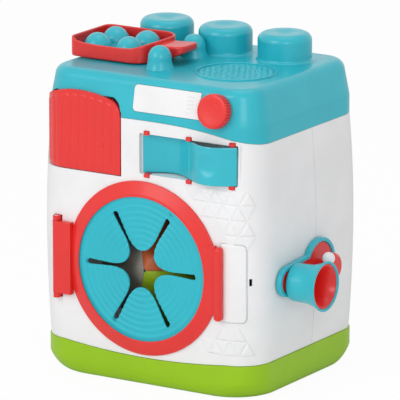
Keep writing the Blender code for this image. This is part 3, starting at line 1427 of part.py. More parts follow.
def fill_star(bm, sheets, petal_rows):
    """Faces of the star membrane: two sheets, the slots' edges and the rim."""
    wide = PETAL_COLUMNS + 1
    near, far = sheets

    def at(ring, petal, column):
        full = len(ring) == STAR_SLOTS * wide
        return ring[petal * wide + column] if full else ring[(petal * PETAL_COLUMNS + column) % len(ring)]

    for rings in sheets:
        for r in range(len(rings) - 1):
            for petal in range(STAR_SLOTS):
                for c in range(PETAL_COLUMNS):
                    corners = (at(rings[r], petal, c), at(rings[r], petal, c + 1),
                               at(rings[r + 1], petal, c + 1), at(rings[r + 1], petal, c))
                    bm.faces.new(corners)
    for petal in range(STAR_SLOTS):
        for r in range(petal_rows - 1):
            for c in (0, PETAL_COLUMNS):
                bm.faces.new((at(near[r], petal, c), at(near[r + 1], petal, c),
                              at(far[r + 1], petal, c), at(far[r], petal, c)))
        for c in range(PETAL_COLUMNS):
            bm.faces.new((at(near[0], petal, c), at(near[0], petal, c + 1),
                          at(far[0], petal, c + 1), at(far[0], petal, c)))
            bm.faces.new((at(near[-1], petal, c), at(near[-1], petal, c + 1),
                          at(far[-1], petal, c + 1), at(far[-1], petal, c)))


def make_retainer():
    """Ring that clamps the membrane in the frame's rebate."""
    front = DOOR_FACE_Y + FRAME_LIP_THICKNESS + STAR_SHEET + 2 * GAP
    back = DOOR_SEAT_Y - GAP + COLLAR_DEPTH
    bm = pipe(RETAINER_INNER, FRAME_REBATE_RADIUS - GAP, front, back, FINE_STEPS,
              along_y((0.0, 0.0, DOOR_HEIGHT)))
    return place("membrane_retainer", bm, "red")


# Drum

def drum_frame():
    return along_y((0.0, 0.0, DRIVE_HEIGHT))


def cone_y(radius):
    """Front face of the three-colour cone at a radius."""
    return CONE_TIP_Y + (CONE_BASE_Y - CONE_TIP_Y) * radius / (DRUM_RADIUS - DRUM_WALL)


def make_drum():
    """White drum: round wall, a conical bottom that rises to the door, and a hub for the axle."""
    inner = DRUM_RADIUS - DRUM_WALL
    lift = SECTOR_SHEET + GAP
    cone_back = lift + DRUM_WALL * 1.2
    profile = [(0.0, cone_y(0.0) + lift + CONE_BLUNT), (CONE_BLUNT * 2, cone_y(CONE_BLUNT * 2) + lift),
               (inner - OVERRUN, cone_y(inner - OVERRUN) + lift),
               (inner, cone_y(inner) + lift), (inner, DRUM_FRONT_Y), (DRUM_RADIUS, DRUM_FRONT_Y),
               (DRUM_RADIUS, DRUM_BACK_Y - DRUM_WALL), (DRUM_RADIUS - DRUM_WALL, DRUM_BACK_Y),
               (inner - DRUM_WALL * 2, DRUM_BACK_Y),
               (inner - DRUM_WALL * 2, cone_y(inner - DRUM_WALL * 2) + cone_back),
               (HUB_RADIUS, cone_y(HUB_RADIUS) + cone_back), (HUB_RADIUS, HUB_BACK_Y),
               (AXLE_RADIUS + GAP, HUB_BACK_Y), (AXLE_RADIUS + GAP, AXLE_START_Y - GAP),
               (0.0, AXLE_START_Y - GAP)]
    return place("drum", turned(profile, DRUM_STEPS, drum_frame()), "white", crease=35.0)


def make_sector(name, index, colour):
    """One third of the coloured cone that lines the drum."""
    inner = DRUM_RADIUS - DRUM_WALL - GAP
    spare = GAP / 2
    sheets = []
    for lift in (0.0, SECTOR_SHEET):
        rings = []
        for radius in spread(CONE_BLUNT, inner, SECTOR_ROWS):
            side = spare / radius
            start = (SECTOR_TURN + 120 * index) * DEG + side
            stop = (SECTOR_TURN + 120 * (index + 1)) * DEG - side
            ring = []
            for angle in spread(start, stop, SECTOR_STEPS):
                ring.append((radius * math.cos(angle), cone_y(radius) + lift,
                             DRIVE_HEIGHT + radius * math.sin(angle)))
            rings.append(ring)
        sheets.append(rings)
    return place(name, slab(sheets[0], sheets[1]), colour, crease=60.0)


def make_axle():
    bm = drum_shape(AXLE_RADIUS, AXLE_START_Y, AXLE_END_Y, SMALL_STEPS * 2, drum_frame())
    return place("drum_axle", bm, "steel")


def make_drum_bush():
    """Bearing sleeve in the rear shell's boss."""
    bm = pipe(AXLE_RADIUS + GAP, AXLE_RADIUS + BEARING_WALL, BOSS_FRONT_Y, AXLE_END_Y, SMALL_STEPS * 2,
              drum_frame())
    return place("drum_bush", bm, "natural")


def crown_pitch_y():
    return PARTING_Y - PINION_PITCH_RADIUS


def crown_radius():
    return PINION_PITCH_RADIUS * CROWN_TEETH / PINION_TEETH


def make_crown_gear():
    """Crown gear on the drum's hub: teeth stand towards the back and mesh with the crank's pinion."""
    pitch = math.tau * PINION_PITCH_RADIUS / PINION_TEETH
    tip_y = crown_pitch_y() + TOOTH_REACH
    root_y = crown_pitch_y() - TOOTH_ROOT
    middle = crown_radius()
    outer = middle + GEAR_FACE / 2
    frame = drum_frame()
    profile = [(HUB_RADIUS + GAP, root_y - CROWN_PLATE), (outer, root_y - CROWN_PLATE), (outer, root_y),
               (middle - GEAR_FACE / 2, root_y), (middle - GEAR_FACE / 2 - OVERRUN, root_y - CROWN_PLATE / 2),
               (HUB_RADIUS + GAP + OVERRUN, root_y - CROWN_PLATE / 2),
               (HUB_RADIUS + GAP + OVERRUN, root_y), (HUB_RADIUS + GAP, root_y)]
    gear = place("crown_gear", turned(profile, CROWN_TEETH, frame), "natural", crease=30.0)
    teeth = bmesh.new()
    foot = pitch * TOOTH_FOOT_SHARE / 2
    tip = pitch * TOOTH_TIP_SHARE / 2
    sunk = root_y - CROWN_PLATE / 2
    for index in range(CROWN_TEETH):
        turn = Matrix.Rotation(math.tau * (index + 0.5) / CROWN_TEETH, 4, "Z")
        sections = []
        for radius in (middle - GEAR_FACE / 2 + GAP, outer - GAP):
            sections.append([frame @ turn @ Vector((radius, side, height))
                             for side, height in ((-foot, sunk), (foot, sunk), (foot, root_y), (tip, tip_y),
                                                  (-tip, tip_y), (-foot, root_y))])
        loft(sections, bm=teeth)
    shape_by(gear, tool("crown_teeth", teeth), "UNION")
    return gear


def make_pinion():
    """Pinion on the crank shaft."""
    pitch = math.tau * PINION_PITCH_RADIUS / PINION_TEETH
    foot = pitch * TOOTH_FOOT_SHARE / 2
    tip = pitch * TOOTH_TIP_SHARE / 2
    root = PINION_PITCH_RADIUS - TOOTH_ROOT
    crest = PINION_PITCH_RADIUS + TOOTH_REACH
    outline = []
    for index in range(PINION_TEETH):
        angle = math.tau * index / PINION_TEETH
        out = Vector((math.cos(angle), math.sin(angle)))
        side = Vector((-out.y, out.x))
        for reach, off in ((root, -foot), (crest, -tip), (crest, tip), (root, foot)):
            outline.append(tuple(out * reach + side * off))
    low = crown_radius() - GEAR_FACE / 2
    high = crown_radius() + GEAR_FACE / 2
    turn = Matrix.Rotation(PINION_PHASE * DEG, 4, "Z")
    frame = along_x((0.0, PARTING_Y, DRIVE_HEIGHT)) @ turn
    pinion = place("pinion", prism(outline, low, high, frame), "natural", crease=30.0)
    bore = drum_shape(CRANK_SHAFT_RADIUS + GAP / 3, low - OVERRUN, high + OVERRUN, SMALL_STEPS * 2, frame)
    shape_by(pinion, tool("pinion_bore", bore), "DIFFERENCE")
    return pinion


# Crank

def wall_x():
    return half_width(DRIVE_HEIGHT)


def crank_frame(x=0.0):
    return along_x((x, PARTING_Y, DRIVE_HEIGHT))


def make_crank_shaft():
    low = crown_radius() - GEAR_FACE / 2
    high = lever_back() - GAP + SHAFT_IN_LEVER
    bm = drum_shape(CRANK_SHAFT_RADIUS, low, high, SMALL_STEPS * 2, crank_frame())
    return place("crank_shaft", bm, "steel")


def lever_back():
    return HOUSING_WIDTH / 2 + LEVER_BACK_GAP


def lever_face():
    return lever_back() + LEVER_THICKNESS


def bush_hole(name):
    """Hole for the crank's bush, half in each shell."""
    bm = drum_shape(BUSH_RADIUS + GAP, wall_x() - WALL - OVERRUN, wall_x() + OVERRUN, SMALL_STEPS * 2,
                    crank_frame())
    return tool(name, bm)


def make_crank_bush():
    """Long bearing sleeve with a flange inside the wall."""
    flange = wall_x() - WALL - FLANGE_CLEARANCE
    profile = [(CRANK_SHAFT_RADIUS + GAP, BUSH_INNER_X), (BUSH_RADIUS, BUSH_INNER_X),
               (BUSH_RADIUS, flange - OVERRUN), (BUSH_FLANGE_RADIUS, flange - OVERRUN),
               (BUSH_FLANGE_RADIUS, flange), (BUSH_RADIUS, flange), (BUSH_RADIUS, wall_x()),
               (CRANK_SHAFT_RADIUS + GAP, wall_x())]
    return place("crank_bush", turned(profile, SMALL_STEPS * 2, crank_frame()), "natural")


def lever_outline(inset):
    """Round eye at the shaft and a straight arm that runs forward; local X is world -Z."""
    eye = LEVER_EYE_RADIUS - inset
    arm = LEVER_ARM_HALF - inset
    start = math.asin(arm / eye) / DEG
    points = arc(0.0, 0.0, eye, start - 90, 270 - start, 20)
    points += arc(LEVER_DROP, -LEVER_ARM_REACH, arm, 180, 360, 10)
    return points


def make_crank_lever():
    """Teal lever with a raised rim round a recess."""
    bm = prism(lever_outline(0.0), lever_back(), lever_face(), crank_frame())
    lever = place("crank_lever", bm, "teal", crease=35.0)
    recess = prism(lever_outline(LEVER_RIM), lever_face() - LEVER_RECESS - FACE_THICKNESS,
                   lever_face() + OVERRUN, crank_frame())
    shape_by(lever, tool("lever_recess", recess), "DIFFERENCE")
    bore = drum_shape(CRANK_SHAFT_RADIUS + GAP / 3, lever_back() - OVERRUN,
                      lever_back() + SHAFT_IN_LEVER, SMALL_STEPS * 2, crank_frame())
    shape_by(lever, tool("lever_bore", bore), "DIFFERENCE")
    return lever


def make_crank_face():
    """Red plate let into the lever, with the cap's stem hole and the horn's pin hole."""
    low = lever_face() - LEVER_RECESS - FACE_THICKNESS + GAP
    high = lever_face() - LEVER_RECESS
    face = place("crank_face", prism(lever_outline(LEVER_RIM + GAP), low, high, crank_frame()), "red")
    shape_by(face, tool("face_stem_hole", drum_shape(CAP_STEM_RADIUS + GAP / 3, low - OVERRUN, high + OVERRUN,
                                                     SMALL_STEPS * 2, crank_frame())), "DIFFERENCE")
    return face


def horn_frame():
    return along_x((0.0, PARTING_Y - HORN_REACH, DRIVE_HEIGHT - HORN_DROP))


def make_horn():
    """Teal horn-shaped handle that flares to an open mouth."""
    low = lever_face() + GAP
    high = low + HORN_LENGTH
    straight = low + HORN_LENGTH * HORN_STRAIGHT_SHARE
    bend = low + HORN_LENGTH * HORN_BEND_SHARE
    swell = HORN_FOOT_RADIUS + (HORN_MOUTH_RADIUS - HORN_FOOT_RADIUS) * HORN_SWELL_SHARE
    outer = [(HORN_FOOT_RADIUS, low), (HORN_FOOT_RADIUS + GAP, straight), (swell, bend),
             (HORN_MOUTH_RADIUS - GAP, high - OVERRUN), (HORN_MOUTH_RADIUS, high - GAP)]
    inner = [(HORN_MOUTH_RADIUS - HORN_WALL, high), (swell - HORN_WALL, bend),
             (HORN_FOOT_RADIUS - HORN_WALL, straight), (HORN_FOOT_RADIUS - HORN_WALL, low + HORN_FLOOR)]
    profile = [(HORN_PIN_RADIUS + GAP, low)] + outer + inner + [(HORN_PIN_RADIUS + GAP, low + HORN_FLOOR)]
    return place("horn", turned(profile, ROUND_STEPS, horn_frame()), "teal", crease=35.0)


def make_horn_liner():
    """Red cup inside the horn."""
    low = lever_face() + GAP
    high = low + HORN_LENGTH
    straight = low + HORN_LENGTH * HORN_STRAIGHT_SHARE
    bend = low + HORN_LENGTH * HORN_BEND_SHARE
    swell = HORN_FOOT_RADIUS + (HORN_MOUTH_RADIUS - HORN_FOOT_RADIUS) * HORN_SWELL_SHARE
    skin = HORN_WALL + GAP
    deep = skin + LINER_WALL
    floor = low + HORN_FLOOR + HORN_PIN_HEAD + GAP
    mouth = high - LINER_SETBACK
    mouth_radius = HORN_MOUTH_RADIUS - (HORN_MOUTH_RADIUS - swell) * LINER_SETBACK / (high - bend)
    profile = [(0.0, floor), (HORN_FOOT_RADIUS - skin, floor), (HORN_FOOT_RADIUS - skin, straight),
               (swell - skin, bend), (mouth_radius - skin, mouth), (mouth_radius - deep, mouth),
               (swell - deep, bend), (HORN_FOOT_RADIUS - deep, straight),
               (HORN_FOOT_RADIUS - deep, floor + LINER_WALL), (0.0, floor + LINER_WALL)]
    return place("horn_liner", turned(profile, ROUND_STEPS, horn_frame()), "red", crease=35.0)


def make_horn_pin():
    """Headed pin that the horn turns on, held in the lever."""
    low = lever_face() - LEVER_RECESS - FACE_THICKNESS - HORN_PIN_SEAT
    top = lever_face() + GAP + HORN_FLOOR + GAP
    profile = [(0.0, low), (HORN_PIN_RADIUS, low), (HORN_PIN_RADIUS, top), (HORN_PIN_RADIUS * 2, top),
               (HORN_PIN_RADIUS * 2, top + HORN_PIN_HEAD - 2 * GAP), (0.0, top + HORN_PIN_HEAD - 2 * GAP)]
    return place("horn_pin", turned(profile, SMALL_STEPS * 2, horn_frame()), "steel")


def pin_holes(piece):
    """Hole for the horn's pin in the lever and its red plate."""
    low = lever_face() - LEVER_RECESS - FACE_THICKNESS - HORN_PIN_SEAT - GAP
    bm = drum_shape(HORN_PIN_RADIUS + GAP / 3, low, lever_face() + OVERRUN, SMALL_STEPS * 2, horn_frame())
    shape_by(piece, tool(piece.name + "_pin_hole", bm), "DIFFERENCE")


def cap_underside():
    return lever_face() - LEVER_RECESS + CAP_STEM_LENGTH


def bead_frame():
    """A frame at the bead's middle whose local Z points at the crank's axis."""
    angle = BEAD_ANGLE * DEG
    side = Vector((0.0, math.cos(angle), math.sin(angle)))
    point = Vector((cap_underside() + BEAD_RISE, PARTING_Y, DRIVE_HEIGHT)) + side * BEAD_REACH
    return Matrix.Translation(point) @ (-side).to_track_quat("Z", "Y").to_matrix().to_4x4()


def bead_shape(spare):
    """Ball with a pin through its middle, swollen by a clearance."""
    radius = BEAD_RADIUS + spare
    pin = BEAD_PIN_RADIUS + spare
    neck = math.asin(pin / radius) / DEG
    ball = arc(0.0, 0.0, radius, -90, 90 - neck, 10)
    profile = [(0.0, -radius)] + ball[1:] + [(pin, BEAD_PIN_REACH + spare), (0.0, BEAD_PIN_REACH + spare)]
    return turned(profile, SMALL_STEPS * 2, bead_frame())


def make_crank_cap():
    """Red mushroom cap on the crank's axis, with a socket in its rim for the bead."""
    low = lever_face() - LEVER_RECESS - FACE_THICKNESS + GAP
    top = cap_underside()
    dome = arc(CAP_RADIUS - CAP_HEIGHT, top, CAP_HEIGHT, 0, 90, 3)
    profile = [(0.0, low), (CAP_STEM_RADIUS, low), (CAP_STEM_RADIUS, top)] + dome + [(0.0, top + CAP_HEIGHT)]
    cap = place("crank_cap", turned(profile, ROUND_STEPS, crank_frame()), "red", crease=35.0)
    shape_by(cap, tool("bead_socket", bead_shape(GAP)), "DIFFERENCE")
    return cap


def make_crank_bead():
    """White bead pinned to the cap's rim."""
    return place("crank_bead", bead_shape(0.0), "white", crease=60.0)


# Tip-up tray

def tray_outline(inset):
    """Tray seen from above without its tongue: square left corners, wide right corners."""
    low = POST_MIDDLE_Y - TRAY_DEPTH / 2 + inset
    high = POST_MIDDLE_Y + TRAY_DEPTH / 2 - inset
    left = TRAY_LEFT_X + inset
    right = TRAY_RIGHT_X - inset
    small = TRAY_LEFT_ROUND - inset
    large = TRAY_RIGHT_ROUND - inset
    points = []
    points += [(left + small + (right - large - left - small) * s, low) for s in (0.25, 0.5, 0.75)]
    points += arc(right - large, low + large, large, -90, 0, 5)
    points += arc(right - large, high - large, large, 0, 90, 5)
    points += [(right - large + (left + small - right + large) * s, high) for s in (0.25, 0.5, 0.75)]
    points += arc(left + small, high - small, small, 90, 180, 4)
    points += arc(left + small, low + small, small, 180, 270, 4)
    return points


def tray_rim(x, y):
    """Top of the tray's wall: full height at the ends, scooped along the front."""
    if y > POST_MIDDLE_Y:
        return TRAY_END_HEIGHT
    middle = (TRAY_LEFT_X + TRAY_RIGHT_X) / 2
    half = (TRAY_RIGHT_X - TRAY_LEFT_X) / 2
    share = min(1.0, abs(x - middle) / half)
    front = (POST_MIDDLE_Y - y) / (TRAY_DEPTH / 2)
    scoop = (TRAY_END_HEIGHT - TRAY_MIDDLE_HEIGHT) * (1 - share ** 4)
    return TRAY_END_HEIGHT - scoop * min(1.0, max(0.0, front))


def make_tray_frame():
    """Red tray with a scooped front wall and a tongue that runs between the posts."""
    outer = tray_outline(0.0)
    inner = tray_outline(TRAY_WALL)
    rings = [[(x, y, TRAY_BOTTOM_HEIGHT) for x, y in outer],
             [(x, y, tray_rim(x, y)) for x, y in outer],
             [(x, y, tray_rim(x, y)) for x, y in inner],
             [(x, y, TRAY_BOTTOM_HEIGHT + TRAY_FLOOR) for x, y in inner]]
    frame = place("tray_frame", loft(rings), "red", crease=35.0)
    shape_by(frame, tongue(), "UNION")
    bore = drum_shape(TRAY_PIN_RADIUS + GAP / 3, -HALF_DEPTH, HALF_DEPTH, SMALL_STEPS,
                      along_y((POST_X, 0.0, PIVOT_HEIGHT)))
    shape_by(frame, tool("tray_bore", bore), "DIFFERENCE")
    return frame


def tongue():
    """Lever beyond the hinge: flat top, underside curved up to a thin rounded tip."""
    half = TONGUE_WIDTH / 2
    start = TRAY_RIGHT_X - TRAY_WALL / 2
    stations = []
    for share in (0.0, 0.2, 0.4, 0.55, 0.7, 0.82, 0.92, 1.0):
        x = start + (TONGUE_TIP_X - start) * share
        top = TONGUE_TOP_HEIGHT + (TONGUE_TIP_HEIGHT - TONGUE_TOP_HEIGHT) * share * share
        under = max(0.0, share - TONGUE_BEND_SHARE) / (1 - TONGUE_BEND_SHARE)
        tip_low = TONGUE_TIP_HEIGHT - TONGUE_TIP_THICKNESS
        low = TONGUE_ROOT_HEIGHT + (tip_low - TONGUE_ROOT_HEIGHT) * under ** 1.3
        narrow = corner_drop(max(0.0, x - (TONGUE_TIP_X - TONGUE_CORNER)), TONGUE_CORNER)
        side = half - min(narrow, TONGUE_CORNER * TONGUE_CORNER_SHARE)
        stations.append([(x, POST_MIDDLE_Y - side, low), (x, POST_MIDDLE_Y + side, low),
                         (x, POST_MIDDLE_Y + side, top), (x, POST_MIDDLE_Y - side, top)])
    return tool("tongue", loft(stations))


def make_tray_pin():
    """Pin through the tongue into both posts."""
    half = TONGUE_WIDTH / 2 + TRAY_PIN_GAP + TRAY_PIN_SEAT
    bm = drum_shape(TRAY_PIN_RADIUS, POST_MIDDLE_Y - half, POST_MIDDLE_Y + half, SMALL_STEPS,
                    along_y((POST_X, 0.0, PIVOT_HEIGHT)))
    return place("tray_pin", bm, "steel")


def make_bubble_panel():
    """Teal panel of four pop domes that fills the tray."""
    outline = tray_outline(TRAY_WALL + GAP)
    low = TRAY_BOTTOM_HEIGHT + TRAY_FLOOR + GAP
    panel = place("bubble_panel", prism(outline, low, BUBBLE_SHEET_HEIGHT, along_z()), "teal", crease=35.0)
    middle_x = (TRAY_LEFT_X + TRAY_RIGHT_X) / 2
    domes = []
    for column in (-1, 1):
        for row in (-1, 1):
            x = middle_x + BUBBLE_OFFSET_X + column * BUBBLE_PITCH_X / 2
            y = POST_MIDDLE_Y + row * BUBBLE_PITCH_Y / 2
            crown = [(BUBBLE_RADIUS * math.cos(a * DEG),
                      BUBBLE_SHEET_HEIGHT + BUBBLE_HEIGHT * math.sin(a * DEG)) for a in DOME_ANGLES]
            profile = [(0.0, low + GAP), (BUBBLE_RADIUS, low + GAP)] + crown
            profile.append((0.0, BUBBLE_SHEET_HEIGHT + BUBBLE_HEIGHT))
            name = "dome_%d_%d" % (column, row)
            shape_by(panel, tool(name, turned(profile, DOME_STEPS, along_z((x, y, 0.0)))), "UNION")
    return panel


def build():
    clear_scene()
    make_base_tray()
    make_front_shell()
    make_rear_shell()
    make_top_shell()
    make_base_screws()
    make_hopper()
    make_flap_pin()
    make_window_tray()
    make_window_clips()
    make_wave_pin()
    make_label_plate()
    make_catch_plate()
    make_hinge_bracket()
    make_hinge_pin()
    make_drum_bush()
    make_crank_bush()
    make_tray_pin()
    doors = [make_door_frame(), make_star_membrane(), make_retainer(), make_latch_grip()]
    for piece in doors:
        set_origin(piece, (HINGE_X, HINGE_Y, DOOR_HEIGHT))
    flap = make_flap()
    set_origin(flap, (*flap_axis(), FLAP_LOW))
    wave = make_wave_panel()
    set_origin(wave, (wave_middle(), WAVE_MIDDLE_Y, WINDOW_LOW))
    knobs = [make_knob(), make_knob_washer()]
    for piece in knobs:
        set_origin(piece, knob_frame().translation)
    drums = [make_drum(), make_sector("sector_orange", 0, "orange"), make_sector("sector_grey", 1, "grey"),
             make_sector("sector_lime", 2, "lime"), make_axle(), make_crown_gear()]
    for piece in drums:
        set_origin(piece, (0.0, DRUM_BACK_Y, DRIVE_HEIGHT))
    lever = make_crank_lever()
    face = make_crank_face()
    pin_holes(lever)
    pin_holes(face)
    cranks = [lever, face, make_crank_shaft(), make_pinion(), make_crank_cap(), make_crank_bead(),
              make_horn_pin()]
    for piece in cranks:
        set_origin(piece, (lever_back(), PARTING_Y, DRIVE_HEIGHT))
    for piece in (make_horn(), make_horn_liner()):
        set_origin(piece, horn_frame() @ Vector((0.0, 0.0, lever_face())))
    for piece in (make_tray_frame(), make_bubble_panel()):
        set_origin(piece, (POST_X, POST_MIDDLE_Y, PIVOT_HEIGHT))


build()
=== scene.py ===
"""Looks of a toy washing machine: moulded shells, star door, fluted flap, crank with horn, bubble tray."""
import json
import math

import bmesh
import bpy
import numpy as np
from bpy.props import FloatProperty, FloatVectorProperty, IntProperty, PointerProperty
from mathutils import Matrix, Vector


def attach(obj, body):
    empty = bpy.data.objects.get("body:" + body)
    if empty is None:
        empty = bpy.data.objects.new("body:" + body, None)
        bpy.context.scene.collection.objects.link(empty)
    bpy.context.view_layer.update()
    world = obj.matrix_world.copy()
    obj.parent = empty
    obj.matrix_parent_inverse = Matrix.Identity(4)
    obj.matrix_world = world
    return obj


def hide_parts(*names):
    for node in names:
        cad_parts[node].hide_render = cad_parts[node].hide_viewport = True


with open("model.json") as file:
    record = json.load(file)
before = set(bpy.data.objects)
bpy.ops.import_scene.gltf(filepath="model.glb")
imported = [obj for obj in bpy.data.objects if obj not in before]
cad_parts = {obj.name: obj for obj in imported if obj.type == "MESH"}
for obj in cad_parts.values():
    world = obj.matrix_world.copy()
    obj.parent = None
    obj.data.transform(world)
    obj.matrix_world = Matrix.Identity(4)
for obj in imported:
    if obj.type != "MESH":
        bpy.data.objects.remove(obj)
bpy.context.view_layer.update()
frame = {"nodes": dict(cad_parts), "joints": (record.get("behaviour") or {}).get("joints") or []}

bl_info = {
    "name": "Toy washing machine",
    "version": (1, 0, 0),
    "blender": (4, 5, 0),
    "location": "3D View > Sidebar > Washer",
    "description": "Builds the moulded pieces, finishes and stage of a toy washing machine",
    "category": "Object",
}

MM = 0.001
DEG = math.pi / 180

# Housing
WIDTH = 214.4 * MM
DEPTH = 172.0 * MM
CORNER = 28.0 * MM
WALL = 2.5 * MM
SEAM_GAP = 0.15 * MM
PARTING_Y = 6.0 * MM
TOP_SEAM = 210.8 * MM
BASE_SEAM = 29.4 * MM
DECK = 255.5 * MM
CROWN = 1.0 * MM
ROLL = 9.0 * MM
SLOPE_FOOT = 226.1 * MM
SLOPE_INSET = 4.0 * MM
SLOPE_TOP = 246.668 * MM
LEAN = math.atan2(SLOPE_INSET, 20.4 * MM)
STUD_TOP = 278.9 * MM

# Door and drum
DOOR_Z = 99.5 * MM
DOOR_FACE = -91.0 * MM
DRIVE_Z = 97.3 * MM
STAR_RADIUS = 60.0 * MM
RING_RADIUS = 72.6 * MM
SEAT_Y = -86.3 * MM

# Crank
CRANK_Y = 6.0 * MM
LEVER_BACK = 107.8 * MM
LEVER_FACE = 112.4 * MM
HORN_Y = -35.4 * MM
HORN_Z = 92.7 * MM

# Tray
TRAY_Y = -17.5 * MM
TRAY_LEFT = -97.9 * MM
TRAY_RIGHT = -24.0 * MM
TRAY_LOW = 257.2 * MM
POST_X = -11.5 * MM


# Settings that a user changes

class WasherColours(bpy.types.PropertyGroup):
    teal: FloatVectorProperty(name="Teal", description="Top, membrane, panel and horn", subtype="COLOR",
                              size=3, min=0.0, max=1.0, default=(0.02, 0.475, 0.575))
    red: FloatVectorProperty(name="Red", description="Door ring, flap, knob and tray", subtype="COLOR",
                             size=3, min=0.0, max=1.0, default=(0.79, 0.024, 0.02))
    lime: FloatVectorProperty(name="Lime", description="Base tray", subtype="COLOR",
                              size=3, min=0.0, max=1.0, default=(0.31, 0.56, 0.0))
    white: FloatVectorProperty(name="White", description="Walls", subtype="COLOR",
                               size=3, min=0.0, max=1.0, default=(0.86, 0.86, 0.87))
    # painted shade: the white third of the drum's cone is coloured grey to stand in for the shade inside the
    # drum
    grey: FloatVectorProperty(name="Grey", description="Grey third of the drum's cone", subtype="COLOR",
                              size=3, min=0.0, max=1.0, default=(0.27, 0.25, 0.22))
    # partly painted shade: the orange third keeps its own hue, but is coloured darker to stand in for the shade
    # inside the drum
    orange: FloatVectorProperty(name="Orange", description="Orange third of the drum's cone",
                                subtype="COLOR", size=3, min=0.0, max=1.0, default=(0.42, 0.075, 0.008))
    # partly painted shade: the green third is the lime, coloured darker to stand in for the shade inside the
    # drum
    lime_with_painted_shade: FloatVectorProperty(name="Grass", description="Green third of the drum's cone",
                               subtype="COLOR", size=3, min=0.0, max=1.0, default=(0.27, 0.42, 0.012))


class WasherSizes(bpy.types.PropertyGroup):
    edge: FloatProperty(name="Edge rounding", description="Radius that moulded edges are softened by",
                        subtype="DISTANCE", unit="LENGTH", default=0.45 * MM, min=0.0)
    ripple_pitch: FloatProperty(name="Ripple pitch", description="Spacing of the membrane's rings",
                                subtype="DISTANCE", unit="LENGTH", default=5.0 * MM, min=1.0 * MM)
    ripple_depth: FloatProperty(name="Ripple depth", description="Height of the membrane's rings",
                                subtype="DISTANCE", unit="LENGTH", default=0.55 * MM, min=0.0)
    stave_pitch: FloatProperty(name="Stave pitch", description="Width of one stave of the flap",
                               subtype="DISTANCE", unit="LENGTH", default=8.3 * MM, min=2.0 * MM)
    stave_height: FloatProperty(name="Stave height", description="How far a stave stands proud",
                                subtype="DISTANCE", unit="LENGTH", default=0.6 * MM, min=0.0)
    knob_ribs: IntProperty(name="Knob ribs", description="Grip ribs round the knob", default=36, min=3)
    dimple: FloatProperty(name="Thumb dimple", description="Depth of the dimple in the wave panel",
                          subtype="DISTANCE", unit="LENGTH", default=2.2 * MM, min=0.0)


def colours():
    return bpy.context.scene.washer_colours


def sizes():
    return bpy.context.scene.washer_sizes


# Surfaces

def grid_faces(rows, columns, wrap_rows=False, wrap_columns=False):
    """Corners of the quads between neighbouring points of a grid that is numbered row by row."""
    r = np.arange(rows if wrap_rows else rows - 1)[:, None]
    c = np.arange(columns if wrap_columns else columns - 1)[None, :]
    r2 = (r + 1) % rows
    c2 = (c + 1) % columns
    corners = np.broadcast_arrays(r * columns + c, r * columns + c2, r2 * columns + c2, r2 * columns + c)
    return np.stack(corners, axis=-1).reshape(-1, 4)


def rings(points):
    """Closed skin through rows of points, each row a loop: quads between rows, one cap at each end."""
    rows, columns = points.shape[:2]
    faces = grid_faces(rows, columns, wrap_columns=True).tolist()
    faces.append(list(range(columns))[::-1])
    faces.append(list(range((rows - 1) * columns, rows * columns)))
    return points.reshape(-1, 3), faces


def loops(points):
    """Closed skin through rows of loops where the last row joins the first again."""
    rows, columns = points.shape[:2]
    return points.reshape(-1, 3), grid_faces(rows, columns, True, True).tolist()


def plate(front, back):
    """Closed plate between two grids of the same size: both sheets and a strip round their four edges."""
    rows, columns = front.shape[:2]
    around = np.concatenate([front, back[::-1]], axis=0)
    faces = grid_faces(2 * rows, columns, wrap_rows=True).tolist()
    near = np.arange(rows - 1) * columns
    far = (2 * rows - 1 - np.arange(rows - 1)) * columns
    for column in (0, columns - 1):
        strip = np.stack([near, near + columns, far - columns, far], axis=-1) + column
        faces += strip.tolist()
    return around.reshape(-1, 3), faces


def turned(profile, place, steps=96):
    """Surface of revolution: radius and height of each profile point, carried round the frame's Z.

    x = radius * cos(turn), y = radius * sin(turn), z = height. The profile either starts and ends on
    the axis or closes on itself.
    """
    profile = np.asarray(profile, dtype=float)
    turn = np.linspace(0.0, 2 * np.pi, steps, endpoint=False)
    radius = profile[:, 0][:, None]
    height = np.repeat(profile[:, 1][:, None], steps, axis=1)
    grid = np.stack([radius * np.cos(turn), radius * np.sin(turn), height], axis=-1)
    grid = placed(grid, place)
    if profile[0, 0] > 0.0 or profile[-1, 0] > 0.0:
        return loops(grid)
    return grid.reshape(-1, 3), grid_faces(len(profile), steps, wrap_columns=True).tolist()


def placed(grid, place):
    """Every point of a grid, moved by a 4 x 4 frame."""
    matrix = np.array(place)
    return grid @ matrix[:3, :3].T + matrix[:3, 3]


def rounded(profile, radius, steps=6, closed=False):
    """A profile whose corners are replaced by curves: start, corner and end weighted (1-t)², 2t(1-t), t²."""
    points = np.asarray(profile, dtype=float)
    count = len(points)
    t = np.linspace(0.0, 1.0, steps)[:, None]
    result = []
    for index in range(count):
        here = points[index]
        if not closed and index in (0, count - 1):
            result.append(here[None, :])
            continue
        before = points[index - 1]
        after = points[(index + 1) % count]
        back = before - here
        ahead = after - here
        reach = min(radius, np.linalg.norm(back) * 0.48, np.linalg.norm(ahead) * 0.48)
        start = here + back / np.linalg.norm(back) * reach
        stop = here + ahead / np.linalg.norm(ahead) * reach
        result.append(start * (1 - t) ** 2 + here * 2 * t * (1 - t) + stop * t ** 2)
    return np.concatenate(result)


def smooth_step(values, low, high):
    """0 below the low value, 1 above the high one, and 3s² - 2s³ between them."""
    share = np.clip((values - low) / (high - low), 0.0, 1.0)
    return share * share * (3 - 2 * share)


def join(*skins):
    """Several closed skins as one list of points and one of faces."""
    points = np.concatenate([skin[0] for skin in skins])
    faces = []
    start = 0
    for skin_points, skin_faces in skins:
        faces += [[corner + start for corner in face] for face in skin_faces]
        start += len(skin_points)
    return points, faces


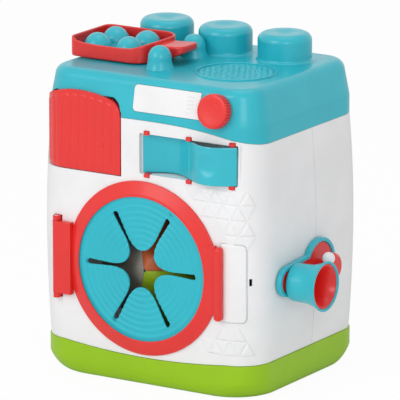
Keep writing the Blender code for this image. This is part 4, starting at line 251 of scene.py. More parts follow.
def raw(name, skin):
    """A scene object from a skin: doubles merged, faces turned outwards."""
    points, faces = skin
    mesh = bpy.data.meshes.new(name)
    mesh.from_pydata(points.tolist(), [], faces)
    work = bmesh.new()
    work.from_mesh(mesh)
    bmesh.ops.remove_doubles(work, verts=work.verts, dist=0.002 * MM)
    bmesh.ops.dissolve_degenerate(work, dist=0.001 * MM, edges=work.edges)
    bmesh.ops.recalc_face_normals(work, faces=work.faces)
    work.to_mesh(mesh)
    work.free()
    thing = bpy.data.objects.new(name, mesh)
    bpy.context.scene.collection.objects.link(thing)
    return thing


def carve(piece, skins, operation="DIFFERENCE"):
    """Cut skins out of a piece, or join them to it, and keep the result as its mesh."""
    tools = [raw("tool_%d" % index, skin) for index, skin in enumerate(skins)]
    for thing in tools:
        change = piece.modifiers.new(thing.name, "BOOLEAN")
        change.operation = operation
        change.solver = "EXACT"
        change.object = thing
    bpy.context.view_layer.update()
    graph = bpy.context.evaluated_depsgraph_get()
    shaped = bpy.data.meshes.new_from_object(piece.evaluated_get(graph))
    piece.modifiers.clear()
    old = piece.data
    piece.data = shaped
    bpy.data.meshes.remove(old)
    for thing in tools:
        bpy.data.objects.remove(thing, do_unlink=True)
    return piece


def finish(piece, body, nodes, stuff, crease=35.0, weighted=True):
    """Shade a piece, give it its material, and set it on its body in place of its nodes."""
    mesh = piece.data
    mesh.materials.clear()
    mesh.materials.append(stuff)
    mesh.polygons.foreach_set("material_index", np.zeros(len(mesh.polygons), dtype=np.int32))
    mesh.shade_smooth()
    mesh.set_sharp_from_angle(angle=crease * DEG)
    if weighted:
        even = piece.modifiers.new("even_normals", "WEIGHTED_NORMAL")
        even.keep_sharp = True
    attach(piece, body)
    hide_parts(*nodes)
    return piece


def along_x(x, y, z):
    """A frame whose own Z is world +X, with its middle at a point."""
    return Matrix.Translation((x, y, z)) @ Matrix.Rotation(90 * DEG, 4, "Y")


def along_y(x, y, z):
    """A frame whose own Z is world +Y, with its middle at a point."""
    return Matrix.Translation((x, y, z)) @ Matrix.Rotation(-90 * DEG, 4, "X")


def along_z(x, y, z):
    return Matrix.Translation((x, y, z))


def bar(radius, low, high, place, steps=48):
    """A round bar between two heights of a frame."""
    return turned([(0.0, low), (radius, low), (radius, high), (0.0, high)], place, steps)


def box(low, high):
    """Eight corners joined into a closed block."""
    x0, y0, z0 = low
    x1, y1, z1 = high
    outline = np.array([(x0, y0), (x1, y0), (x1, y1), (x0, y1)])
    grid = np.stack([np.column_stack([outline, np.full(4, z)]) for z in (z0, z1)])
    return rings(grid)


def soft_outline(left, right, low, high, radius, steps=10):
    """Rectangle with round corners: each corner's middle plus radius * (cos, sin) over a quarter turn."""
    quarter = np.linspace(0.0, np.pi / 2, steps)
    parts = []
    middles = ((right - radius, low + radius, -np.pi / 2), (right - radius, high - radius, 0.0),
               (left + radius, high - radius, np.pi / 2), (left + radius, low + radius, np.pi))
    for x, y, start in middles:
        parts.append(np.column_stack([x + radius * np.cos(start + quarter),
                                      y + radius * np.sin(start + quarter)]))
    return np.concatenate(parts)


def cushion(left, right, low, high, radius, profile, place):
    """Stack of rounded rectangles: each profile point gives how far one is drawn in and its height."""
    grid = []
    for inset, height in profile:
        outline = soft_outline(left + inset, right - inset, low + inset, high - inset,
                               max(radius - inset, 0.05 * MM))
        grid.append(np.column_stack([outline, np.full(len(outline), height)]))
    return rings(placed(np.stack(grid), place))


# Housing outline

def half_width(z):
    """Half width of the walls: widest at 125 mm, drawn in by the square of the distance from there."""
    share = (z - 125.0 * MM) / (85.0 * MM)
    return WIDTH / 2 - np.where(share > 0, 4.4 * MM, 3.1 * MM) * share * share


def base_seam(x):
    share = np.minimum(1.0, np.abs(x) / (78.0 * MM))
    return BASE_SEAM - 5.0 * MM * (1 - share * share)


def top_seam(x):
    share = np.minimum(1.0, np.abs(x) / (104.0 * MM))
    return TOP_SEAM + 11.3 * MM * (1 - share ** 2.5)


def front_table(side_steps=8, corner_steps=18, face_steps=90):
    """Weights of the outline's points: flat x, flat y, corner x, corner y and parting edge."""
    s = np.linspace(0.0, 1.0, side_steps, endpoint=False)
    zero = np.zeros_like(s)
    one = np.ones_like(s)
    left_side = np.column_stack([-one, -s, -one, zero, 1 - s])
    angle = np.linspace(np.pi, 1.5 * np.pi, corner_steps, endpoint=False)
    o = np.ones_like(angle)
    left_corner = np.column_stack([-o, -o, np.cos(angle), np.sin(angle), 0 * o])
    flat = np.linspace(-1.0, 1.0, face_steps)
    o = np.ones_like(flat)
    face = np.column_stack([flat, -o, 0 * o, -o, 0 * o])
    mirrored = np.concatenate([left_side, left_corner])[::-1] * np.array([-1, 1, -1, 1, 1])
    return np.concatenate([left_side, left_corner, face, mirrored])


def outline_points(table, side, face, radius, edge):
    """x and y of the outline: flat share * (half size - radius) + corner share * radius + parting edge."""
    x = table[:, 0] * (side - radius) + table[:, 2] * radius
    y = table[:, 1] * (face - radius) + table[:, 3] * radius + table[:, 4] * edge
    return x, y


def full_outline(side, inset, rounder=0.0):
    """Closed outline of the housing: the front half, then the same turned half round."""
    table = front_table(side_steps=8, face_steps=60)
    radius = CORNER - inset + rounder
    x, y = outline_points(table, side - inset, DEPTH / 2 - inset, radius, 0.0)
    x, y = x[:-1], y[:-1]
    return np.concatenate([x, -x]), np.concatenate([y, -y])


def wall_point(run, z, lift):
    """Point on the front wall at a distance along it from the middle: flat, then round the corner."""
    run, z, lift = np.broadcast_arrays(run, z, lift)
    slope = np.maximum(0.0, (z - SLOPE_FOOT) / (SLOPE_TOP - SLOPE_FOOT)) * SLOPE_INSET
    high = z > TOP_SEAM
    inset = np.where(high, slope, 0.0)
    side = np.where(high, half_width(TOP_SEAM), half_width(z)) - inset
    face = DEPTH / 2 - inset
    radius = CORNER - inset
    flat = side - radius
    sign = np.sign(run)
    over = np.maximum(0.0, np.abs(run) - flat)
    angle = over / radius
    x = np.where(over > 0, sign * (flat + (radius + lift) * np.sin(angle)), run)
    y = radius - face - (radius + lift) * np.cos(angle)
    return np.stack([x, y, z], axis=-1)


def triangle_tiles():
    """Raised triangles on the front wall's right part.

    Rows of tiles that point up and down in turn are laid out by run and height. Each tile is its
    triangle drawn in towards its middle, step by step, while its height over the wall rises.
    """
    side, row = 14.5 * MM, 12.5 * MM
    spots = []
    for level in range(2, 14):
        for count in range(2, 16):
            up = (count + level) % 2 == 0
            middle = np.array([2.4 * MM + count * side / 2, (level + (1 / 3 if up else 2 / 3)) * row])
            z = middle[1]
            if math.hypot(middle[0], z - DOOR_Z) < 80.5 * MM or middle[0] > TILE_END_RUN:
                continue
            if 131 * MM < z < 171.5 * MM or 34.5 * MM < z < 56.5 * MM:
                spots.append((middle, 1 if up else -1))
    angle = np.radians([-30.0, 90.0, 210.0])
    along = np.linspace(0.0, 1.0, 8, endpoint=False)[:, None]
    corners = np.column_stack([np.cos(angle) * side / 2 / math.cos(30 * DEG), np.sin(angle) * row * 2 / 3])
    edge = np.concatenate([corners[i] * (1 - along) + corners[(i + 1) % 3] * along for i in range(3)])
    skins = []
    for middle, way in spots:
        rows = []
        for share, lift in TILE_STEPS:
            ring = middle + edge * share * np.array([1.0, way])
            height = lift if way > 0 or lift < 0 else lift * 0.5
            rows.append(wall_point(ring[:, 0], ring[:, 1], height * MM))
        skins.append(rings(np.stack(rows)))
    return join(*skins)


TILE_END_RUN = 101.0 * MM
TILE_STEPS = ((0.90, -0.8), (0.90, 0.0), (0.86, 0.30), (0.78, 0.62), (0.66, 0.85), (0.5, 0.98), (0.3, 1.02))


def half_shell(front):
    """One half of the walls: outline at each height, outer sheet and one a wall's thickness inside it."""
    table = front_table()
    share = np.linspace(0.0, 1.0, 37)
    sheets = []
    edge = PARTING_Y - SEAM_GAP if front else -PARTING_Y - SEAM_GAP
    for inset in (0.0, WALL):
        rows = []
        for s in share:
            side = half_width(BASE_SEAM + (TOP_SEAM - BASE_SEAM) * s) - inset
            x, y = outline_points(table, side, DEPTH / 2 - inset, CORNER - inset, edge)
            low = base_seam(x) + SEAM_GAP
            high = top_seam(x) - SEAM_GAP
            z = low + (high - low) * s
            rows.append(np.column_stack([x, y, z] if front else [-x, -y, z]))
        sheets.append(np.stack(rows))
    return plate(*sheets)


# Flap outline

FLAP_RIGHT = 22.4 * MM
FLAP_LOW = 173.9 * MM
FLAP_PEAK = 239.9 * MM
FLAP_PEAK_RUN = 64.0 * MM
FLAP_END = float(half_width(203.0 * MM)) - CORNER + CORNER * 54.0 * DEG


def corner_drop(over, radius):
    over = np.clip(over, 0.0, radius)
    return radius - np.sqrt(radius * radius - over * over)


def flap_high(run):
    """Arched top of the flap: two parabolas that meet at the peak, and a round corner at the right."""
    right = FLAP_PEAK - 7.8 * MM * ((run - FLAP_PEAK_RUN) / (FLAP_RIGHT - FLAP_PEAK_RUN)) ** 2
    left = FLAP_PEAK - 9.5 * MM * ((run - FLAP_PEAK_RUN) / (FLAP_END - FLAP_PEAK_RUN)) ** 2
    edge = np.where(run < FLAP_PEAK_RUN, right, left)
    return edge - corner_drop(9.0 * MM - (run - FLAP_RIGHT), 9.0 * MM)


def flap_low(run):
    return FLAP_LOW + corner_drop(run - (FLAP_END - 5.5 * MM), 5.5 * MM)


def flap_opening():
    """Cutter for the flap's hole: its outline grown by the gap, from outside the wall to inside it."""
    run = np.linspace(FLAP_RIGHT - 0.9 * MM, FLAP_END + 3.7 * MM, 90)
    held = np.clip(run, FLAP_RIGHT, FLAP_END)
    blend = np.clip((FLAP_PEAK_RUN - held) / (FLAP_PEAK_RUN - FLAP_RIGHT), 0.0, 1.0)
    spare = 0.9 * MM + 2.1 * MM * blend
    low = FLAP_LOW - 0.9 * MM + corner_drop(run - (FLAP_END + 1.7 * MM), 2.0 * MM)
    high = np.minimum(flap_high(held) + spare, FLAP_PEAK - 2.6 * MM)
    share = np.linspace(0.0, 1.0, 21)[:, None]
    z = low + (high - low) * share
    front = wall_point(-run, z, 4.0 * MM)
    back = wall_point(-run, z, -WALL - 2.0 * MM)
    return plate(front, back)


# Shader nodes

class Wire:
    """One output of a shader node. Sums and products of wires add Math nodes."""

    def __init__(self, board, socket):
        self.board = board
        self.socket = socket

    def maths(self, operation, *terms, **settings):
        inputs = dict(enumerate(terms))
        return self.board.node("ShaderNodeMath", dict(settings, operation=operation), inputs)

    def __add__(self, other):
        return self.maths("ADD", self, other)

    def __radd__(self, other):
        return self.maths("ADD", other, self)

    def __sub__(self, other):
        return self.maths("SUBTRACT", self, other)

    def __rsub__(self, other):
        return self.maths("SUBTRACT", other, self)

    def __mul__(self, other):
        return self.maths("MULTIPLY", self, other)

    def __rmul__(self, other):
        return self.maths("MULTIPLY", other, self)

    def __truediv__(self, other):
        return self.maths("DIVIDE", self, other)

    def __pow__(self, other):
        return self.maths("POWER", self, other)

    def __abs__(self):
        return self.maths("ABSOLUTE", self)

    def limited(self):
        """The value held between 0 and 1."""
        return self.maths("ADD", self, 0.0, use_clamp=True)

    def between(self, low, high):
        """0 below the low value, 1 above the high one and a smooth rise between them."""
        return self.board.node("ShaderNodeMapRange", {"interpolation_type": "SMOOTHSTEP"},
                               {"Value": self, "From Min": low, "From Max": high})


class Board:
    """The node tree of one new material."""

    def __init__(self, name):
        self.material = bpy.data.materials.new(name)
        self.material.use_nodes = True
        self.tree = self.material.node_tree
        self.shader = self.tree.nodes["Principled BSDF"]

    def node(self, kind, settings=None, inputs=None, output=0):
        """Add a node, make its settings, then fill its sockets with values or wires."""
        node = self.tree.nodes.new(kind)
        for name, value in (settings or {}).items():
            if name == "stops":
                for index, (place, colour) in enumerate(value):
                    ramp = node.color_ramp.elements
                    stop = ramp[index] if index < 2 else ramp.new(place)
                    stop.position = place
                    stop.color = colour
            else:
                setattr(node, name, value)
        for name, value in (inputs or {}).items():
            self.fill(node.inputs[name], value)
        return Wire(self, node.outputs[output])

    def fill(self, socket, value):
        if isinstance(value, Wire):
            self.tree.links.new(value.socket, socket)
        else:
            socket.default_value = value

    def set(self, **values):
        """Fill the main shader's sockets; an underscore in a name stands for a space."""
        for name, value in values.items():
            self.fill(self.shader.inputs[name.replace("_", " ")], value)

    def place(self):
        return self.node("ShaderNodeTexCoord", output=3)

    def parts(self, vector):
        """The x, y and z of a vector as three wires."""
        node = self.tree.nodes.new("ShaderNodeSeparateXYZ")
        self.tree.links.new(vector.socket, node.inputs[0])
        return [Wire(self, socket) for socket in node.outputs]

    def noise(self, vector, scale, detail=2.0, roughness=0.5):
        return self.node("ShaderNodeTexNoise", {}, {"Vector": vector, "Scale": scale, "Detail": detail,
                                                    "Roughness": roughness})

    def mix(self, factor, first, second):
        """Two colours mixed by a factor."""
        return self.node("ShaderNodeMix", {"data_type": "RGBA"}, {"Factor": factor, 6: first, 7: second}, 2)


def shade(colour, factor):
    return tuple(min(1.0, part * factor) for part in colour) + (1.0,)


def moulded(name, colour, roughness=0.36, relief=None, tint=None, edge=None, coat=0.0):
    """Injection-moulded plastic.

    Colour drifts a little over the piece, gloss varies with flow and handling, and a fine orange-peel
    skin, any relief pattern and softened edges go to the normal. relief and tint are functions that
    are given the board and the place and return a height in metres, or a factor and a second colour.
    """
    board = Board(name)
    where = board.place()
    drift = board.noise(where, 26.0, 3.0)
    speck = board.noise(where, 900.0, 2.0)
    rub = board.noise(where, 120.0, 4.0, 0.6)
    base = board.mix(drift.between(0.3, 0.7), shade(colour, 0.965), shade(colour, 1.02))
    base = board.mix(speck.between(0.62, 0.8) * 0.5, base, shade(colour, 0.94))
    if tint is not None:
        factor, second = tint(board, where)
        base = board.mix(factor, base, second)
    height = board.noise(where, 1400.0, 2.0) * (0.012 * MM) + drift * (0.05 * MM)
    if relief is not None:
        height = height + relief(board, where)
    soft = board.node("ShaderNodeBevel", {"samples": 6}, {"Radius": sizes().edge if edge is None else edge})
    normal = board.node("ShaderNodeBump", {}, {"Height": height, "Distance": 1.0, "Strength": 1.0,
                                               "Normal": soft})
    board.set(Base_Color=base, Roughness=rub.between(0.25, 0.8) * 0.12 + (roughness - 0.06), Normal=normal,
              IOR=1.5, Specular_IOR_Level=0.42, Coat_Weight=coat, Coat_Roughness=0.12)
    return board.material


def steel(name):
    """Plated steel: brushed marks in the roughness, faint scratches in the normal."""
    board = Board(name)
    where = board.place()
    streak = board.noise(where, 420.0, 5.0, 0.7)
    height = streak * (0.02 * MM)
    normal = board.node("ShaderNodeBump", {}, {"Height": height, "Distance": 1.0, "Normal": board.node(
        "ShaderNodeBevel", {"samples": 4}, {"Radius": 0.2 * MM})})
    base = board.mix(streak, (0.52, 0.52, 0.54, 1.0), (0.68, 0.68, 0.70, 1.0))
    board.set(Base_Color=base, Roughness=streak * 0.25 + 0.22, Normal=normal, Metallic=1.0)
    return board.material


STUFF = {}


def stuff(name):
    """One of the part's finishes, made the first time it is asked for."""
    if name not in STUFF:
        tone = colours()
        makers = {
            "teal": lambda: moulded("teal_plastic", tone.teal, 0.34, coat=0.3),
            "deck": lambda: moulded("teal_top_plastic", tone.teal, 0.34, coat=0.18),
            "membrane": lambda: moulded("teal_soft_plastic", tone.teal, 0.46),
            "red": lambda: moulded("red_plastic", tone.red, 0.33, coat=0.2),
            "lime": lambda: moulded("lime_plastic", tone.lime, 0.36),
            "wall": lambda: moulded("white_wall_plastic", tone.white, 0.38),
            "white": lambda: moulded("white_plastic", tone.white, 0.38),
            "label": lambda: moulded("white_plate_plastic", tone.white, 0.34),
            # painted shade: the cone's three thirds are coloured darker than their plastics (grey for the white
            # third) to stand in for the shade inside the drum
            "orange": lambda: moulded("orange_plastic", tone.orange, 0.42),
            "grey": lambda: moulded("grey_plastic", tone.grey, 0.45),
            "lime_with_painted_shade": lambda: moulded("lime_painted_shade_plastic", tone.lime_with_painted_shade, 0.42),
            "nylon": lambda: moulded("natural_nylon", (0.74, 0.73, 0.69), 0.5),
            "steel": lambda: steel("plated_steel"),
        }
        STUFF[name] = makers[name]()
    return STUFF[name]


# Pieces

class WASHER_OT_top(bpy.types.Operator):
    """Teal top: skirt, sloping sides, rolled edge, crowned deck, studs, posts and the pad's rim"""
    bl_idname = "washer.top"
    bl_label = "Top shell"

    def skin(self, offset):
        """Outline at each step of the side's profile, then shrunk towards the middle over the deck."""
        side = float(half_width(TOP_SEAM))
        middle_inset = SLOPE_INSET + ROLL
        turn = np.linspace(LEAN, np.pi / 2, 14)[1:]
        roll = [(DECK - ROLL * (1 - math.sin(a)), middle_inset - ROLL * math.cos(a)) for a in turn]
        steps = [(TOP_SEAM, 0.0), (SLOPE_FOOT - 3 * MM, 0.0), (SLOPE_FOOT - MM, 0.05 * MM),
                 (SLOPE_FOOT, 0.12 * MM), (SLOPE_FOOT + MM, 0.27 * MM), (SLOPE_FOOT + 3 * MM, 0.6 * MM)]
        steps += [(z, (z - SLOPE_FOOT) / (SLOPE_TOP - SLOPE_FOOT) * SLOPE_INSET)
                  for z in np.linspace(SLOPE_FOOT + 5 * MM, SLOPE_TOP, 8)] + roll
        rows = []
        for index, (z, inset) in enumerate(steps):
            x, y = full_outline(side, inset + offset)
            sink = offset * min(1.0, (inset / middle_inset) ** 2) * math.cos(LEAN)
            low = top_seam(x) + SEAM_GAP
            height = low if index == 0 else np.maximum(z - sink, low + index * 0.2 * MM)
            rows.append(np.column_stack([x, y, np.broadcast_to(height, x.shape)]))
        edge = rows[-1]
        for share in (0.97, 0.9, 0.8, 0.68, 0.54, 0.4, 0.26, 0.12, 0.04):
            lift = CROWN * (1 - share * share)
            rows.append(edge * np.array([share, share, 1.0]) + np.array([0.0, 0.0, lift]))
        return np.stack(rows)

    def stud(self, x):
        """Stud turned from a flared foot, a straight side, a round shoulder and a shallow dish."""
        low = DECK + 0.35 * MM
        shoulder = np.linspace(0.0, np.pi / 2, 12)
        side = 22.3 * MM
        round_edge = 6.5 * MM
        foot = np.linspace(0.0, np.pi / 2, 7)
        points = [(0.0, low - 2 * MM), (side + 3.2 * MM, low - 2 * MM)]
        points += [(side + 3.2 * MM * (1 - math.sin(a)), low + 3.0 * MM * (1 - math.cos(a))) for a in foot]
        points += [(side - round_edge * (1 - math.cos(a)), STUD_TOP - round_edge * (1 - math.sin(a)))
                   for a in shoulder]
        reach = np.linspace(1.0, 0.0, 12)
        points += [(12.5 * MM * s, STUD_TOP - 1.5 * MM * (1 - s * s) ** 2) for s in reach]
        return turned(points, along_z(x, 38.8 * MM, 0.0), 72)

    def pebbles(self):
        """Floor of the round recess: a disc on a polar grid, raised by a dome round each knot of a net."""
        radius = np.linspace(0.2 * MM, 31.9 * MM, 76)[:, None]
        turn = np.linspace(0.0, 2 * np.pi, 210, endpoint=False)
        x, y = radius * np.cos(turn), radius * np.sin(turn)
        pitch = 5.4 * MM
        row = np.round(y / (pitch * 0.866))
        shift = (row % 2) * pitch / 2
        column = np.round((x - shift) / pitch)
        stray_x = 0.13 * pitch * np.sin(5.1 * column + 3.7 * row)
        stray_y = 0.13 * pitch * np.sin(2.3 * column - 4.9 * row)
        away = np.hypot(x - column * pitch - shift - stray_x, y - row * pitch * 0.866 - stray_y)
        reach = pitch * (0.41 + 0.05 * np.sin(1.7 * column + 2.9 * row))
        dome = np.sqrt(np.maximum(0.0, 1 - (away / reach) ** 2))
        top = DECK - 0.62 * MM + 1.1 * MM * dome * smooth_step(30.6 * MM - radius, 0.0, 1.2 * MM)
        near = np.stack([x + 48.5 * MM, y - 23.0 * MM, top], axis=-1)
        low = np.stack([x[-1:] + 48.5 * MM, y[-1:] - 23.0 * MM, np.full_like(x[-1:], DECK - 1.4 * MM)], axis=-1)
        return rings(np.concatenate([near, low]))

    def post(self, sign):
        """Bell-shaped post: flared foot, drawn-in waist and domed top."""
        low = DECK + 0.4 * MM
        top = 274.8 * MM
        points = [(0.0, low - 2 * MM), (11.6 * MM, low - 2 * MM), (11.6 * MM, low)]
        rise = np.linspace(0.0, 1.0, 9)[1:]
        points += [(11.6 * MM - 1.9 * MM * math.sin(s * math.pi / 2), low + 8.4 * MM * s) for s in rise]
        dome = np.linspace(0.04, 1.0, 12)
        points += [(9.7 * MM * math.cos(s * math.pi / 2) ** 0.9,
                    low + 8.4 * MM + (top - low - 8.4 * MM) * math.sin(s * math.pi / 2)) for s in dome]
        points[-1] = (0.0, top)
        return turned(points, along_z(POST_X, TRAY_Y + sign * 26.0 * MM, 0.0), 64)

    def execute(self, context):
        outer = self.skin(0.0)
        inner = self.skin(WALL)
        columns = outer.shape[1]
        around = np.concatenate([inner[::-1], outer])
        shell = raw("top_moulding", rings(around))
        if columns != inner.shape[1]:
            raise RuntimeError("the top's two skins differ")
        studs = [self.stud(x) for x in (-56.9 * MM, 0.0, 56.9 * MM)]
        posts = [self.post(sign) for sign in (-1, 1)]
        low = DECK - MM
        rim = turned(rounded([(31.7 * MM, low), (33.5 * MM, low), (33.5 * MM, DECK + 1.6 * MM),
                              (31.7 * MM, DECK + 1.6 * MM)], 0.7 * MM, closed=True),
                     along_z(48.5 * MM, -23.0 * MM, 0.0), 96)
        carve(shell, studs + posts + [rim], "UNION")
        recess = turned([(0.0, DECK - 0.6 * MM), (31.2 * MM, DECK - 0.6 * MM), (31.7 * MM, DECK),
                         (31.7 * MM, STUD_TOP), (0.0, STUD_TOP)], along_z(48.5 * MM, -23.0 * MM, 0.0), 96)
        turn = slope_place(68.2 * MM, 237.6 * MM)
        hole = bar(3.3 * MM, -8 * MM, 4 * MM, turn)
        middle = slope_place(0.0, 239.6 * MM)
        label = prism(label_outline(0.3 * MM), -0.9 * MM, 4 * MM, middle)
        pins = [bar(2.1 * MM, TRAY_Y + low_y, TRAY_Y + high_y, along_y(POST_X, 0.0, 265.3 * MM))
                for low_y, high_y in ((-20.4 * MM, -12.4 * MM), (12.4 * MM, 20.4 * MM))]
        carve(shell, [flap_opening(), recess, hole, label] + pins)
        carve(shell, [self.pebbles()], "UNION")
        finish(shell, "housing", ["top_shell"], stuff("deck"))
        return {"FINISHED"}


def slope_place(x, z):
    """A frame on the sloping front whose own Z points out of it."""
    y = -DEPTH / 2 + (z - SLOPE_FOOT) / (SLOPE_TOP - SLOPE_FOOT) * SLOPE_INSET
    return Matrix.Translation((x, y, z)) @ Matrix.Rotation(90 * DEG - LEAN, 4, "X")


def label_outline(spare):
    """Rounded plate, its right end hollowed by a circle round the knob."""
    stretch = math.cos(LEAN)
    low = -10.7 * MM / stretch - spare
    high = 10.7 * MM / stretch + spare
    left = -10.6 * MM - spare
    corner = 3.4 * MM
    hollow = 17.6 * MM - spare
    knob_v = -2.0 * MM / stretch
    quarter = np.linspace(np.pi / 2, np.pi, 8)
    upper = np.column_stack([left + corner + corner * np.cos(quarter), high - corner + corner * np.sin(quarter)])
    quarter = quarter + np.pi / 2
    lower = np.column_stack([left + corner + corner * np.cos(quarter), low + corner + corner * np.sin(quarter)])
    v = np.linspace(low, high, 30)
    reach = np.sqrt(np.maximum(0.0, hollow ** 2 - (v - knob_v) ** 2))
    x = np.minimum(52.6 * MM + spare, np.where(reach > 0, 68.2 * MM - reach, 1.0))
    return np.concatenate([upper, lower, np.column_stack([x, v])])


def prism(outline, low, high, place):
    """A flat outline pushed between two heights of a frame."""
    grid = np.stack([np.column_stack([outline, np.full(len(outline), z)]) for z in (low, high)])
    return rings(placed(grid, place))


class WASHER_OT_walls(bpy.types.Operator):
    """White front and rear walls with their openings"""
    bl_idname = "washer.walls"
    bl_label = "Walls"

    def execute(self, context):
        front = raw("front_wall", half_shell(True))
        door = bar(67.0 * MM, -90 * MM, -80 * MM, along_y(0.0, 0.0, DOOR_Z), 128)
        window = cushion(-4.1 * MM, 87.9 * MM, 178.1 * MM, 211.4 * MM, 1.2 * MM,
                         [(0.0, -92 * MM), (0.0, -50 * MM)], FACING)
        hinge = box((-87.4 * MM, -88.3 * MM, 64.1 * MM), (-79.0 * MM, -72.0 * MM, 133.5 * MM))
        bush = bar(7.3 * MM, 100 * MM, 112 * MM, along_x(0.0, CRANK_Y, DRIVE_Z))
        cuts = [door, window, flap_opening(), hinge, catch_skin(2.0 * MM, -1.2 * MM, 0.3 * MM, False), bush,
                self.slot()] + self.notches()
        carve(front, cuts)
        carve(front, [triangle_tiles()], "UNION")
        finish(front, "housing", ["front_shell"], stuff("wall"))
        rear = raw("rear_wall", half_shell(False))
        carve(rear, [bush])
        finish(rear, "housing", ["rear_shell"], stuff("white"))
        return {"FINISHED"}

    def slot(self):
        """Small upright slot in the wall's corner."""
        run = float(half_width(DOOR_Z)) - CORNER + 18.9 * MM + np.linspace(0.0, 2.6 * MM, 5)
        z = np.linspace(-3.0 * MM, 3.0 * MM, 5)[:, None] + DOOR_Z
        return plate(wall_point(run, z, 2 * MM), wall_point(run, z, -5 * MM))

    def notches(self):
        """Room for the window's clips in its edges."""
        blocks = []
        for x in (3.3 * MM, 43.35 * MM, 83.4 * MM):
            for low, high in ((175.4 * MM, 179.0 * MM), (210.5 * MM, 214.1 * MM)):
                blocks.append(box((x - 2.5 * MM, -92 * MM, low), (x + 2.5 * MM, -76 * MM, high)))
        return blocks


FACING = Matrix.Rotation(90 * DEG, 4, "X") @ Matrix.Scale(-1, 4, (0, 0, 1))


def catch_skin(lift_out, lift_in, spare, soft):
    """Patch on the front wall right of the door; a soft one falls to the wall round its edges."""
    end = float(half_width(DOOR_Z)) - CORNER + 17.0 * MM + spare
    start = 73.4 * MM - spare
    run = np.linspace(start, end, 48)
    drop = corner_drop(5.0 * MM - (end - run), 5.0 * MM)
    low = DOOR_Z - 34.0 * MM - spare + drop
    high = DOOR_Z + 31.0 * MM + spare - drop
    share = np.linspace(0.0, 1.0, 60)[:, None]
    z = low + (high - low) * share
    lift = np.full_like(z, lift_out)
    if soft:
        away = np.minimum(np.minimum(z - low, high - z), np.minimum(run - start, end - run))
        lift = lift_out * np.sqrt(smooth_step(away, -0.2 * MM, 1.2 * MM))
    return plate(wall_point(run, z, lift), wall_point(run, z, lift_in))


class WASHER_OT_catch(bpy.types.Operator):
    """Raised plate beside the door, and the bare label plate on the sloping front"""
    bl_idname = "washer.catch"
    bl_label = "Catch and label plates"

    def execute(self, context):
        catch = raw("catch_pad", catch_skin(1.2 * MM, -0.9 * MM, 0.0, True))
        finish(catch, "housing", ["catch_plate"], stuff("white"), 50.0)
        outline = label_outline(0.0)
        middle = outline.mean(axis=0)
        rows = []
        for inset, z in ((0.0, -0.6), (0.0, 0.3), (0.12, 0.52), (0.4, 0.68), (0.8, 0.7)):
            pull = (outline - middle)
            length = np.linalg.norm(pull, axis=1)[:, None]
            ring = outline - pull / length * inset * MM
            rows.append(np.column_stack([ring, np.full(len(ring), z * MM)]))
        place = slope_place(0.0, 239.6 * MM)
        skins = [rings(placed(np.stack(rows), place))]
        for index in range(5):
            v = (-6.6 + 3.2 * index) * MM
            steps = [(0.0, 0.4 * MM), (0.05 * MM, 0.85 * MM), (0.2 * MM, 0.98 * MM), (0.32 * MM, 1.0 * MM)]
            skins.append(cushion(39.8 * MM, 46.8 * MM, v, v + 0.9 * MM, 0.4 * MM, steps, place))
        label = raw("label_pad", join(*skins))
        finish(label, "housing", ["label_plate"], stuff("label"), 50.0)
        return {"FINISHED"}


class WASHER_OT_base(bpy.types.Operator):
    """Lime base tray with a rounded foot and four screw wells"""
    bl_idname = "washer.base"
    bl_label = "Base tray"

    def row(self, z, thickness):
        """Outline at a height: drawn in below 15 mm as a quarter of an ellipse, with rounder corners."""
        rise = min(1.0, z / (15 * MM))
        draw = 1 - math.sqrt(1 - (1 - rise) ** 2)
        inset = 9.0 * MM * draw - 1.0 * MM + thickness
        return full_outline(float(half_width(BASE_SEAM)), inset, 14.0 * MM * (1 - rise))

    def execute(self, context):
        heights = 15.0 * MM * np.linspace(0.0, 1.0, 14) ** 1.6
        rows = []
        for z in heights:
            x, y = self.row(z, 0.0)
            rows.append(np.column_stack([x, y, np.full(len(x), z)]))
        x, y = self.row(15.0 * MM, 0.0)
        inner_x, inner_y = self.row(15.0 * MM, WALL)
        rim = base_seam(x) - SEAM_GAP
        rows.append(np.column_stack([x, y, rim - 0.5 * MM]))
        shift = (np.column_stack([inner_x, inner_y]) - np.column_stack([x, y])) / WALL
        for inset, drop in ((0.15 * MM, 0.12 * MM), (0.5 * MM, 0.0)):
            rows.append(np.column_stack([np.column_stack([x, y]) + shift * inset, rim - drop]))
        rows.append(np.column_stack([inner_x, inner_y, rim]))
        for z in heights[:2:-1]:
            x, y = self.row(z, WALL)
            rows.append(np.column_stack([x, y, np.full(len(x), max(z, 3 * MM))]))
        tray = raw("base_moulding", rings(np.stack(rows)))
        spots = [(sx * 80 * MM, sy * 62 * MM) for sx in (-1, 1) for sy in (-1, 1)]
        carve(tray, [bar(6 * MM, 1.5 * MM, 8 * MM, along_z(x, y, 0.0)) for x, y in spots], "UNION")
        wells = []
        for x, y in spots:
            wells.append(turned([(0.0, -2 * MM), (3.7 * MM, -2 * MM), (3.7 * MM, 4 * MM), (1.8 * MM, 4 * MM),
                                 (1.8 * MM, 10 * MM), (0.0, 10 * MM)], along_z(x, y, 0.0), 40))
        carve(tray, wells)
        finish(tray, "housing", ["base_tray"], stuff("lime"))
        return {"FINISHED"}


